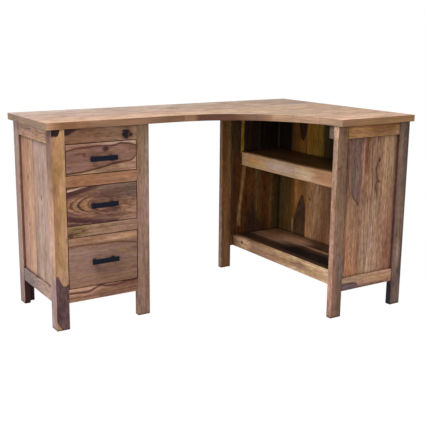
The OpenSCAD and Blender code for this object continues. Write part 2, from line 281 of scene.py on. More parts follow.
@dataclass
class Spot:
    """Where the shader is on a board, in millimetres, with the random fields that its layers share.

    The grain is the place that fields are read at, and lined is the same place bent as the board's lines
    wander. Held is the bent place across, kept inside its own board.
    """

    along: Socket
    across: Socket
    deep: Socket
    grain: Socket
    lined: Socket
    held: Socket
    ragged: Socket
    mottle: Socket
    flame: Socket
    shade: Socket
    length: float
    width: float

    def past(self, graph: Graph, line: Line, side: Side) -> Socket:
        """Measures how far the spot lies past a line.

        Args:
            graph: the material's tree.
            line: the line's heights.
            side: the axis to measure on, and the sign.

        Returns:
            The distance in millimetres, positive on the named side.
        """
        axis, sign = side.value
        if axis == "across":
            height = graph.outline(self.along, line, self.length, self.width)
            gap = graph.add("Math.SUBTRACT", self.across, height)
        else:
            height = graph.outline(self.across, line, self.width, self.length)
            gap = graph.add("Math.SUBTRACT", self.along, height)
        return graph.add("Math.MULTIPLY", gap, float(sign))


class Figure:
    """Something that is drawn on a board, with its sizes in millimetres."""

    def lay(self, graph: Graph, spot: Spot, colour: Socket) -> Socket:
        """Lays the figure over the board.

        Args:
            graph: the material's tree.
            spot: where the shader is.
            colour: the board's colour so far.

        Returns:
            The colour with the figure.
        """
        raise NotImplementedError


@dataclass(frozen=True)
class Patch(Figure):
    """Heartwood with an outline: the area that is inside all of its edges, with a darker rim."""

    edges: dict[Side, Line]
    tone: str
    rim: str = "3a2420"
    soft: float = 4.0
    rim_width: float = 5.0
    strength: float = 0.92
    rim_strength: float = 0.8
    ragged: float = 6.0
    mottle: str | None = None

    def lay(self, graph: Graph, spot: Spot, colour: Socket) -> Socket:
        """Lays the patch and its rim over the board's colour, by its distance inside the edges.

        Args:
            graph: the material's tree.
            spot: where the shader is.
            colour: the board's colour so far.

        Returns:
            The colour with the patch.
        """
        inside = None
        for side, line in self.edges.items():
            gap = spot.past(graph, line, side)
            inside = gap if inside is None else graph.add("Math.MINIMUM", inside, gap)
        inside = graph.add("Math.MULTIPLY_ADD", spot.ragged, self.ragged, inside)
        cover = graph.between(inside, -self.soft / 2, self.soft / 2, self.strength)
        tone: Value = linear(self.tone)
        if self.mottle:
            cloudy = graph.between(spot.mottle, 0.38, 0.62)
            tone = graph.add("MixRGB.MIX", cloudy, tone, linear(self.mottle))
        colour = graph.add("MixRGB.MIX", cover, colour, tone)
        near = graph.add("Math.ABSOLUTE", inside)
        rim = graph.between(near, self.rim_width, 0.0, self.rim_strength)
        return graph.add("MixRGB.MIX", rim, colour, linear(self.rim))


@dataclass(frozen=True)
class Vein(Figure):
    """A dark line that wanders along a board: strongest on its line and gone at its width."""

    line: Line
    width: float = 4.0
    tone: str = "4a2c20"
    strength: float = 0.7
    ragged: float = 4.0
    fade: float = 8.0

    def lay(self, graph: Graph, spot: Spot, colour: Socket) -> Socket:
        """Lays the line over the board's colour, by the distance from it, and fades it at its ends.

        Args:
            graph: the material's tree.
            spot: where the shader is.
            colour: the board's colour so far.

        Returns:
            The colour with the line.
        """
        gap = spot.past(graph, self.line, Side.ABOVE)
        gap = graph.add("Math.MULTIPLY_ADD", spot.ragged, self.ragged, gap)
        near = graph.add("Math.ABSOLUTE", gap)
        cover = graph.between(near, self.width, 0.0, self.strength)
        first, last = min(self.line), max(self.line)
        begun = graph.between(spot.along, first - self.fade - 1, first + self.fade)
        ended = graph.between(spot.along, last + self.fade + 1, last - self.fade)
        cover = graph.add("Math.MULTIPLY", cover, begun)
        cover = graph.add("Math.MULTIPLY", cover, ended)
        return graph.add("MixRGB.MIX", cover, colour, linear(self.tone))


@dataclass(frozen=True)
class Oval(Figure):
    """An oval on a board: its middle, its reach along and across, and its colour."""

    along: float
    across: float
    long: float
    wide: float
    tone: str

    def away(self, graph: Graph, spot: Spot, spiky: float) -> Socket:
        """Measures the distance from the oval's middle.

        Args:
            graph: the material's tree.
            spot: where the shader is.
            spiky: how ragged the oval is.

        Returns:
            The distance, which is 1 on the oval.
        """
        run = graph.add("Math.SUBTRACT", spot.along, self.along)
        rise = graph.add("Math.SUBTRACT", spot.across, self.across)
        place = graph.add("CombineXYZ", run, rise, 0.0)
        place = graph.add("VectorMath.DIVIDE", place, (self.long, self.wide, 1.0))
        away = graph.add("VectorMath.LENGTH", place, output="Value")
        return graph.add("Math.MULTIPLY_ADD", spot.ragged, spiky, away)


@dataclass(frozen=True)
class Knot(Oval):
    """A knot: a dark core and a softer halo round it."""

    halo: str = "6a4432"
    strength: float = 0.9
    spiky: float = 0.5

    def lay(self, graph: Graph, spot: Spot, colour: Socket) -> Socket:
        """Lays the halo and then the core over the board's colour.

        Args:
            graph: the material's tree.
            spot: where the shader is.
            colour: the board's colour so far.

        Returns:
            The colour with the knot.
        """
        away = self.away(graph, spot, self.spiky)
        halo = graph.between(away, 2.0, 0.8, 0.55 * self.strength)
        colour = graph.add("MixRGB.MIX", halo, colour, linear(self.halo))
        core = graph.between(away, 1.15, 0.75, self.strength)
        return graph.add("MixRGB.MIX", core, colour, linear(self.tone))


@dataclass(frozen=True)
class Blot(Oval):
    """A soft area where the board's colour drifts."""

    strength: float = 0.7

    def cover(self, graph: Graph, spot: Spot) -> Socket:
        """Fades out from the middle of the oval."""
        return graph.between(self.away(graph, spot, 0.8), 1.25, 0.35, self.strength)

    def lay(self, graph: Graph, spot: Spot, colour: Socket) -> Socket:
        """Lays the colour over the board's own."""
        return graph.add("MixRGB.MIX", self.cover(graph, spot), colour, linear(self.tone))


@dataclass(frozen=True)
class Flecks(Blot):
    """A soft area that is broken into flecks."""

    def cover(self, graph: Graph, spot: Spot) -> Socket:
        """Fades out from the middle of the oval, and only inside the flecks."""
        flecks = graph.between(spot.mottle, 0.44, 0.56)
        return graph.add("Math.MULTIPLY", super().cover(graph, spot), flecks)


@dataclass(frozen=True)
class Arches(Figure):
    """Cathedral figure of a flat-sawn board: parabolas that open along the grain.

    A band's place is its distance along the grain less the square of the distance from the axis over the
    bend.
    """

    axis: float
    bend: float
    start: float
    bands: Tones
    fade: tuple[float, float]
    spread: tuple[float, float] = (400.0, 500.0)
    strength: float = 0.9

    def lay(self, graph: Graph, spot: Spot, colour: Socket) -> Socket:
        """Lays the arched bands over the board's colour, up to where they fade into straight grain.

        Args:
            graph: the material's tree.
            spot: where the shader is.
            colour: the board's colour so far.

        Returns:
            The colour with the bands.
        """
        rise = graph.add("Math.SUBTRACT", spot.across, self.axis)
        rise = graph.add("Math.MULTIPLY_ADD", spot.ragged, 5.0, rise)
        square = graph.add("Math.MULTIPLY", rise, rise)
        drop = graph.add("Math.DIVIDE", square, self.bend)
        place = graph.add("Math.SUBTRACT", spot.along, drop)
        place = graph.add("Math.MULTIPLY_ADD", spot.ragged, 6.0, place)
        place = graph.add("Math.SUBTRACT", place, self.start)
        bands = graph.tones(place, self.bands, max(self.bands))
        off = graph.add("Math.ABSOLUTE", rise)
        cover = graph.between(place, -6.0, 0.0, self.strength)
        for away, (full, gone) in ((spot.along, self.fade), (off, self.spread)):
            share = graph.between(away, gone, full)
            cover = graph.add("Math.MULTIPLY", cover, share)
        return graph.add("MixRGB.MIX", cover, colour, bands)


@dataclass(frozen=True)
class Lining(Figure):
    """A second board of the same piece, or one face of it, with its own colours along the grain."""

    axis: str
    start: float
    end: float
    run: Tones
    strength: float = 0.9
    planked: bool = False

    def lay(self, graph: Graph, spot: Spot, colour: Socket) -> Socket:
        """Lays the second board's colour between its two planes.

        Args:
            graph: the material's tree.
            spot: where the shader is.
            colour: the board's colour so far.

        Returns:
            The colour with the second board.
        """
        place = getattr(spot, self.axis)
        after = graph.between(place, self.start - 0.4, self.start + 0.4, self.strength)
        before = graph.between(place, self.end + 0.4, self.end - 0.4)
        cover = graph.add("Math.MULTIPLY", after, before)
        tone = graph.tones(spot.along, self.run, spot.length)
        if self.planked:
            tone = graph.add("VectorMath.SCALE", tone, sockets={"Scale": spot.shade})
            tone = graph.add("MixRGB.MULTIPLY", spot.flame, tone, HEARTWOOD)
        return graph.add("MixRGB.MIX", cover, colour, tone)


class Cut(Enum):
    """How a board lies: the frame's axes that run along, across and through it."""

    TOP = (0, 1, 2)
    FRONT = (0, 2, 1)
    UPRIGHT = (2, 0, 1)
    SIDE = (2, 1, 0)
    SIDE_RAIL = (1, 2, 0)
    SHELF = (1, 0, 2)


def new_material(piece: bpy.types.Object, name: str) -> Graph:
    """Gives a piece one new material.

    Args:
        piece: the object to dress.
        name: the material's name.

    Returns:
        The graph that writes the material.
    """
    material = bpy.data.materials.new(name)
    piece.data.materials.clear()
    piece.data.materials.append(material)
    return Graph.of(material)


@dataclass(frozen=True)
class Sheesham:
    """Oiled Indian rosewood, planed and hand-finished: the eye gets brown heartwood with nearly black lines
    and purple patches, tan sapwood beside it, a fine straight grain and a low sheen.

    Near and far are the tones across the board at its two ends. The weights say how strongly growth lines,
    fine lines, flecks, clouds and pores show. Lengths are in millimetres.
    """

    cut: Cut
    near: Tones
    far: Tones | None = None
    figures: tuple[Figure, ...] = ()
    boards: int = 1
    tone: float = 1.0
    wander: float = 10.0
    contrast: float = 1.0
    weights: tuple[float, ...] = (0.9, 0.6, 1.5, 0.9, 0.15)
    seed: float = 0.0
    turn: tuple[float, float] = (0.2, 0.8)
    joint: float = 0.0
    board_shift: float = 0.1
    heart: float = 0.0
    rounded_in_plan: bool = False
    # how much the eased edges are rubbed lighter, as wear and as a painted highlight
    wear_and_highlight: float = 0.35
    # how far the painted crevice shade reaches, in millimetres, and the least share of the colour that it
    # leaves
    crevice: float = 13.0
    crevice_shade: float = 0.28
    edging: Tones | None = None
    # how far the painted gap shade reaches in from the outline of a face, in millimetres
    edge: float = 0.0
    rough: float = 0.42
    gloss: float = 0.12
    relief: float = 0.15

    def dress(self, piece: bpy.types.Object, node: str) -> None:
        """Gives a piece this wood: tones, figures, grain, painted gap shade, ends, rubbed and highlit edges,
        painted crevice shade, then the surface.

        Args:
            piece: the object to dress.
            node: the CAD node whose box places the grain.
        """
        graph = new_material(piece, "sheesham_" + node)
        spot = self.spot(graph, *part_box(node))
        colour = self.ground(graph, spot)
        for figure in self.figures:
            colour = figure.lay(graph, spot, colour)
        places = {
            Field.BROAD: spot.lined,
            Field.FINE: spot.lined,
            Field.FLECK: spot.lined,
            Field.CLOUD: spot.grain,
            Field.PORES: spot.lined,
        }
        fields = {field: graph.noise(place, field) for field, place in places.items()}
        colour = self.grained(graph, spot, colour, fields)
        # painted shade along the outline of the face, for the gap round a drawer front
        if self.edge:
            colour = self.shade_gaps(graph, spot, colour)
        facing = graph.add("VectorMath.ABSOLUTE", graph.add("TexCoord", output="Normal"))
        sides = graph.add("SeparateXYZ", facing).node.outputs
        colour = self.ended(graph, spot, colour, sides)
        eased = self.eased(graph, sides)
        colour = self.worn_lit_and_shaded(graph, spot, colour, eased)

        rough = graph.add("Math.MULTIPLY_ADD", fields[Field.BROAD], 0.18, self.rough)
        rough = graph.add("Math.MULTIPLY_ADD", eased, -0.08, rough)
        relief = graph.add("Math.MULTIPLY_ADD", fields[Field.PORES], 0.6, fields[Field.FINE])
        bump = graph.add("Bump", sockets={"Strength": 0.35, "Distance": self.relief * MM, "Height": relief})
        surface = {"Base Color": colour, "Roughness": rough, "Normal": bump}
        oil = {"IOR": VARNISH_IOR, "Specular IOR Level": self.gloss}
        shader = graph.add("BsdfPrincipled", sockets={**surface, **oil})
        graph.add("OutputMaterial", shader)

    def spot(self, graph: Graph, low: Vector, high: Vector) -> Spot:
        """Works out where the shader is on its board and the random fields that the layers share.

        Args:
            graph: the material's tree.
            low: the piece's lowest corner, in metres.
            high: its highest corner.

        Returns:
            The spot.
        """
        length, width, _ = ((high[i] - low[i]) / MM for i in self.cut.value)
        split = graph.add("SeparateXYZ", graph.place(low)).node
        along, across, deep = (split.outputs[i] for i in self.cut.value)
        pitch = width / self.boards
        share = graph.add("Math.SUBTRACT", across, self.joint)
        share = graph.add("Math.DIVIDE", share, pitch)
        number = graph.add("Math.FLOOR", share)
        shift = graph.add("Math.MULTIPLY_ADD", number, BOARD_STEP, self.seed * SEED_STEP)
        moved = graph.add("Math.ADD", along, shift)
        deeper = graph.add("Math.ADD", deep, shift)
        grain = graph.add("CombineXYZ", moved, across, deeper)
        bend = graph.noise(grain, Field.BEND)
        bend = graph.add("Math.SUBTRACT", bend, 0.5)
        wavy = graph.add("Math.MULTIPLY_ADD", bend, 2.0 * self.wander, across)
        lined = graph.add("CombineXYZ", moved, wavy, deeper)
        start = graph.add("Math.MULTIPLY_ADD", number, pitch, self.joint)
        first = graph.add("Math.ADD", start, SEAM)
        last = graph.add("Math.ADD", start, pitch - SEAM)
        held = graph.add("Math.MAXIMUM", wavy, first)
        held = graph.add("Math.MINIMUM", held, last)
        ragged = graph.noise(grain, Field.RAGGED)
        ragged = graph.add("Math.SUBTRACT", ragged, 0.5)
        mottle = graph.noise(grain, Field.MOTTLE)
        flame = graph.noise(grain, Field.FLAME)
        flame = graph.between(flame, 0.53, 0.57)
        shade = graph.add("TexWhiteNoise", None, shift, noise_dimensions="1D")
        shade = graph.add("Math.MULTIPLY_ADD", shade, 0.4, 0.8)
        return Spot(along, across, deep, grain, lined, held, ragged, mottle, flame, shade, length, width)

    def ground(self, graph: Graph, spot: Spot) -> Socket:
        """Reads the tones across the board, which may turn into others towards its far end.

        Args:
            graph: the material's tree.
            spot: where the shader is.

        Returns:
            The board's colour before its figures and grain.
        """
        colour = graph.tones(spot.held, self.near, spot.width)
        if self.far:
            begin, end = (share * spot.length for share in self.turn)
            other = graph.tones(spot.held, self.far, spot.width)
            turn = graph.noise(spot.grain, Field.TURN)
            turn = graph.add("Math.SUBTRACT", turn, 0.5)
            turn = graph.add("Math.MULTIPLY_ADD", turn, 0.5 * (end - begin), spot.along)
            turn = graph.between(turn, begin, end)
            colour = graph.add("MixRGB.MIX", turn, colour, other)
        if self.heart:
            cover = graph.add("Math.MULTIPLY", spot.flame, self.heart)
            colour = graph.add("MixRGB.MULTIPLY", cover, colour, HEARTWOOD)
        return colour

    def grained(self, graph: Graph, spot: Spot, colour: Socket, fields: dict[Field, Socket]) -> Socket:
        """Lays the grain over the board's colour, with its drifts of hue and its nearly black lines.

        Args:
            graph: the material's tree.
            spot: where the shader is.
            colour: the board's colour.
            fields: the random fields of the grain, in the order of the weights.

        Returns:
            The colour with its grain.
        """
        level = 1.0 - 0.5 * sum(self.weights) * self.contrast
        for field, weight in zip(fields.values(), self.weights):
            level = graph.add("Math.MULTIPLY_ADD", field, weight * self.contrast, level)
        level = graph.add("Math.MAXIMUM", level, DARKEST)
        # where the wood is darker it is also redder
        redder = graph.add("Math.POWER", level, 0.88)
        browner = graph.add("Math.POWER", level, 1.12)
        level = graph.add("CombineXYZ", redder, level, browner)
        shade = graph.add("Math.SUBTRACT", spot.shade, 1.0)
        shade = graph.add("Math.MULTIPLY_ADD", shade, 2.5 * self.board_shift, self.tone)
        level = graph.add("VectorMath.SCALE", level, sockets={"Scale": shade})
        colour = graph.add("VectorMath.MULTIPLY", colour, level)
        drift = graph.noise(spot.grain, Field.DRIFT)
        drift = graph.between(drift, 0.3, 0.7)
        hue = graph.add("MixRGB.MIX", drift, OLIVE, ROSE)
        colour = graph.add("MixRGB.MULTIPLY", 1.0, colour, hue)
        # the nearly black lines are few, and broken where the clouds are thin
        ridge = graph.noise(spot.lined, Field.RIDGE)
        ridge = graph.add("Math.SUBTRACT", ridge, 0.5)
        ridge = graph.add("Math.ABSOLUTE", ridge)
        ridge = graph.between(ridge, 0.035, 0.0, 0.4 * self.contrast)
        patchy = graph.between(fields[Field.CLOUD], 0.42, 0.62)
        ridge = graph.add("Math.MULTIPLY", ridge, patchy)
        return graph.add("MixRGB.MIX", ridge, colour, linear(BLACK_LINE))

    def shade_gaps(self, graph: Graph, spot: Spot, colour: Socket) -> Socket:
        """Paints shade along the outline of the board's face, standing in for the shadow in the gap round
        it.

        Args:
            graph: the material's tree.
            spot: where the shader is.
            colour: the board's colour.

        Returns:
            The colour, darker by the distance to the nearest edge.
        """
        over = graph.add("Math.SUBTRACT", spot.length, spot.along)
        up = graph.add("Math.SUBTRACT", spot.width, spot.across)
        ends = graph.add("Math.MINIMUM", spot.along, over)
        sides = graph.add("Math.MINIMUM", spot.across, up)
        gap = graph.add("Math.MINIMUM", ends, sides)
        cover = graph.between(gap, self.edge, 0.0, 0.75)
        face = graph.between(spot.deep, 4.0, 1.0)
        cover = graph.add("Math.MULTIPLY", cover, face)
        return graph.add("MixRGB.MIX", cover, colour, linear(GAP_SHADE))

    def ended(self, graph: Graph, spot: Spot, colour: Socket, sides: list[Socket]) -> Socket:
        """Darkens the end grain, and gives a sawn curve its own tones along the board.

        Args:
            graph: the material's tree.
            spot: where the shader is.
            colour: the board's colour.
            sides: how much the face looks along X, Y and Z.

        Returns:
            The colour with its ends.
        """
        # end grain takes more oil and is darker
        rings = graph.noise(spot.grain, Field.RINGS)
        rings = graph.add("Math.MULTIPLY_ADD", rings, 0.5, 0.52)
        end = graph.between(sides[self.cut.value[0]], 0.7, 0.9)
        ended = graph.add("VectorMath.SCALE", colour, sockets={"Scale": rings})
        colour = graph.add("MixRGB.MIX", end, colour, ended)
        if self.edging:
            # the upright faces of a board that is sawn to a curve keep one tone through its depth
            streak = graph.noise(spot.grain, Field.STREAK)
            streak = graph.add("Math.MULTIPLY_ADD", streak, 1.4, 0.3)
            edging = graph.tones(spot.along, self.edging, spot.length)
            edging = graph.add("VectorMath.SCALE", edging, sockets={"Scale": streak})
            level_face = graph.between(sides[2], 0.3, 0.7)
            colour = graph.add("MixRGB.MIX", level_face, edging, colour)
        return colour

    def eased(self, graph: Graph, sides: list[Socket]) -> Socket:
        """Finds the eased edges, which are the faces that look along no axis.

        Args:
            graph: the material's tree.
            sides: how much the face looks along X, Y and Z.

        Returns:
            One on an eased edge and 0 on a flat face.
        """
        if self.rounded_in_plan:
            # on a curved outline every level direction counts as one axis: the root of one less Z squared
            flat = graph.add("Math.MULTIPLY", sides[2], sides[2])
            flat = graph.add("Math.SUBTRACT", 1.0, flat)
            flat = graph.add("Math.SQRT", flat)
        else:
            flat = graph.add("Math.MAXIMUM", sides[0], sides[1])
        most = graph.add("Math.MAXIMUM", flat, sides[2])
        return graph.between(most, 0.995, 0.93)

    def worn_lit_and_shaded(self, graph: Graph, spot: Spot, colour: Socket, eased: Socket) -> Socket:
        """Rubs the eased edges lighter, as wear and as a painted highlight, and paints shade into the
        corners where boards meet.

        Args:
            graph: the material's tree.
            spot: where the shader is.
            colour: the board's colour.
            eased: one on an eased edge.

        Returns:
            The colour with its rubbed edges, painted highlight and painted shade.
        """
        # eased edges rubbed lighter: partly wear, partly a painted highlight along the edge
        rub_and_highlight = graph.noise(spot.grain, Field.RUB_AND_HIGHLIGHT)
        rub_and_highlight = graph.between(rub_and_highlight, 0.35, 0.65, self.wear_and_highlight)
        rub_and_highlight = graph.add("Math.MULTIPLY", rub_and_highlight, eased)
        lighter = graph.add("VectorMath.SCALE", colour, sockets={"Scale": 1.6})
        colour = graph.add("MixRGB.MIX", rub_and_highlight, colour, lighter)
        # painted shade: ambient occlusion darkens the corners and recesses where boards meet
        clear = graph.add("AmbientOcclusion", None, self.crevice * MM, output="AO", samples=6)
        clear = graph.between(clear, 0.42, 0.98, 1.0 - self.crevice_shade)
        clear = graph.add("Math.ADD", clear, self.crevice_shade)
        return graph.add("VectorMath.SCALE", colour, sockets={"Scale": clear})


@dataclass(frozen=True)
class BlackIron:
    """Forged mild steel under black paint: nearly black with a soft, slightly blue sheen on its flats."""

    paint: str = "0a0a10"
    sheen: str = "101626"
    rough: float = 0.35
    gloss: float = 0.1
    relief: float = 0.25

    def dress(self, piece: bpy.types.Object) -> None:
        """Gives a piece the painted iron, with brush marks and hammer marks about 6 mm across.

        Args:
            piece: the object to dress.
        """
        graph = new_material(piece, "black_painted_iron")
        place = graph.place()
        hammer = graph.noise(place, Field.HAMMER)
        brush = graph.noise(place, Field.BRUSH)
        colour = graph.add("MixRGB.MIX", hammer, linear(self.paint), linear(self.sheen))
        rough = graph.add("Math.MULTIPLY_ADD", brush, 0.2, self.rough)
        relief = graph.add("Math.MULTIPLY_ADD", brush, 0.3, hammer)
        bump = graph.add("Bump", sockets={"Strength": 0.4, "Distance": self.relief * MM, "Height": relief})
        surface = {"Base Color": colour, "Roughness": rough, "Normal": bump}
        paint = {"IOR": VARNISH_IOR, "Specular IOR Level": self.gloss}
        shader = graph.add("BsdfPrincipled", sockets={**surface, **paint})
        graph.add("OutputMaterial", shader)


@dataclass(frozen=True)
class ZincSteel:
    """Zinc-plated steel screws: pale grey metal with a fine crystal mottle."""

    light: str = "b9bcc0"
    dark: str = "85888c"
    rough: float = 0.25

    def dress(self, piece: bpy.types.Object) -> None:
        """Gives a piece the zinc plate, whose crystals are about 1.5 mm across.

        Args:
            piece: the object to dress.
        """
        graph = new_material(piece, "zinc_plated_steel")
        crystal = graph.noise(graph.place(), Field.CRYSTAL)
        colour = graph.add("MixRGB.MIX", crystal, linear(self.dark), linear(self.light))
        rough = graph.add("Math.MULTIPLY_ADD", crystal, 0.2, self.rough)
        surface = {"Base Color": colour, "Roughness": rough, "Metallic": 1.0}
        shader = graph.add("BsdfPrincipled", sockets=surface)
        graph.add("OutputMaterial", shader)


TOP_WEIGHTS = (1.0, 0.5, 0.7, 1.7, 0.15)
# the tones of plain hidden boards
PLAIN_PANEL = {0: "94745e", 60: "8a6a54", 150: "9a7a62", 296: "866650"}
PLAIN_RAIL = {0: "8c6c56", 635: "94745c"}
RUNNER_SAP = {0: "b49a7c", 44: "ab9072"}
CLEAT_BROWN = {0: "6a4e3a", 60: "745640", 130: "64483a", 200: "705240"}

# the boards of the top
TOP_BOARDS: dict[str, Sheesham] = {
    "top_long": Sheesham(
        Cut.TOP, near={0: "d4aa8a", 99: "c6a286", 101: "c09c84", 199: "b89a88", 201: "b89c88", 299: "b89e8a",
                       301: "b49e90", 400: "bca696"},
        far={0: "c09c76", 99: "b8987a", 101: "b4967e", 199: "b0927c", 201: "b09078", 299: "b29274",
             301: "a68c74", 400: "b09882"},
        figures=(
            Flecks(540, 150, 260, 36, "ab836c", 0.5), Flecks(330, 250, 200, 30, "b38d77", 0.5),
            Flecks(260, 90, 90, 24, "a3795e", 0.4), Flecks(860, 200, 200, 36, "ab8977", 0.6),
            Blot(1240, 190, 90, 60, "8f7b73", 0.6), Blot(590, 205, 120, 30, "d2b4a0", 0.6),
            Blot(300, 309, 160, 30, "a88c7c", 0.5), Flecks(1100, 290, 120, 30, "9f7d66", 0.5),
            Flecks(950, 60, 200, 30, "ccac94", 0.5), Flecks(180, 30, 180, 30, "dab292", 0.4),
        ),
        edging={0: "886f5d", 2: "886f5d", 6: "a88468", 36: "8e664a", 66: "7a573c", 110: "7b583e",
                130: "845f46", 160: "7e5c43", 190: "86654f", 340: "86654f", 430: "80624e", 490: "775842",
                1326: "775842"},
        boards=4, tone=0.9, wander=9, contrast=1.3, weights=TOP_WEIGHTS, seed=1, heart=0.25,
        rounded_in_plan=True,
    ),
    "top_short": Sheesham(
        Cut.TOP, near={0: "dcac8a", 104: "d4a888", 105: "caa282", 208: "c8a486", 210: "c4a284",
                       312: "c0a082", 314: "c09e82", 418: "c2a288"},
        far={0: "d4aa8a", 104: "caa484", 105: "c29c7e", 208: "c29e80", 210: "bc9a7c", 312: "b69678",
             314: "b29276", 418: "b2927a"},
        figures=(
            Flecks(640, 210, 90, 40, "b78b6c", 0.5), Flecks(620, 330, 110, 30, "ab7f64", 0.5),
            Flecks(560, 120, 120, 30, "d4ac8e", 0.5),
        ),
        edging={0: "806049", 40: "806049", 60: "55382d", 160: "55382d", 184: "573827", 217: "644633",
                247: "634c3e", 276: "745644", 296: "80604a", 303: "93755d", 327: "987a61", 408: "9a7d69",
                416: "89674d", 480: "8a684e", 520: "94714f", 779: "8e6b4b"},
        boards=4, tone=0.9, wander=9, contrast=1.3, weights=TOP_WEIGHTS, seed=2, heart=0.25,
        rounded_in_plan=True,
    ),
}

# what carries the top between the frames
TOP_SUPPORTS: dict[str, Sheesham] = {
    "top_cleat": Sheesham(Cut.FRONT, near={0: "8c7668", 49: "846c5c"}, tone=0.7, seed=3),
    "back_rail": Sheesham(Cut.FRONT, near={0: "8c6a52", 40: "7c5c46"}, seed=4, heart=0.6),
}

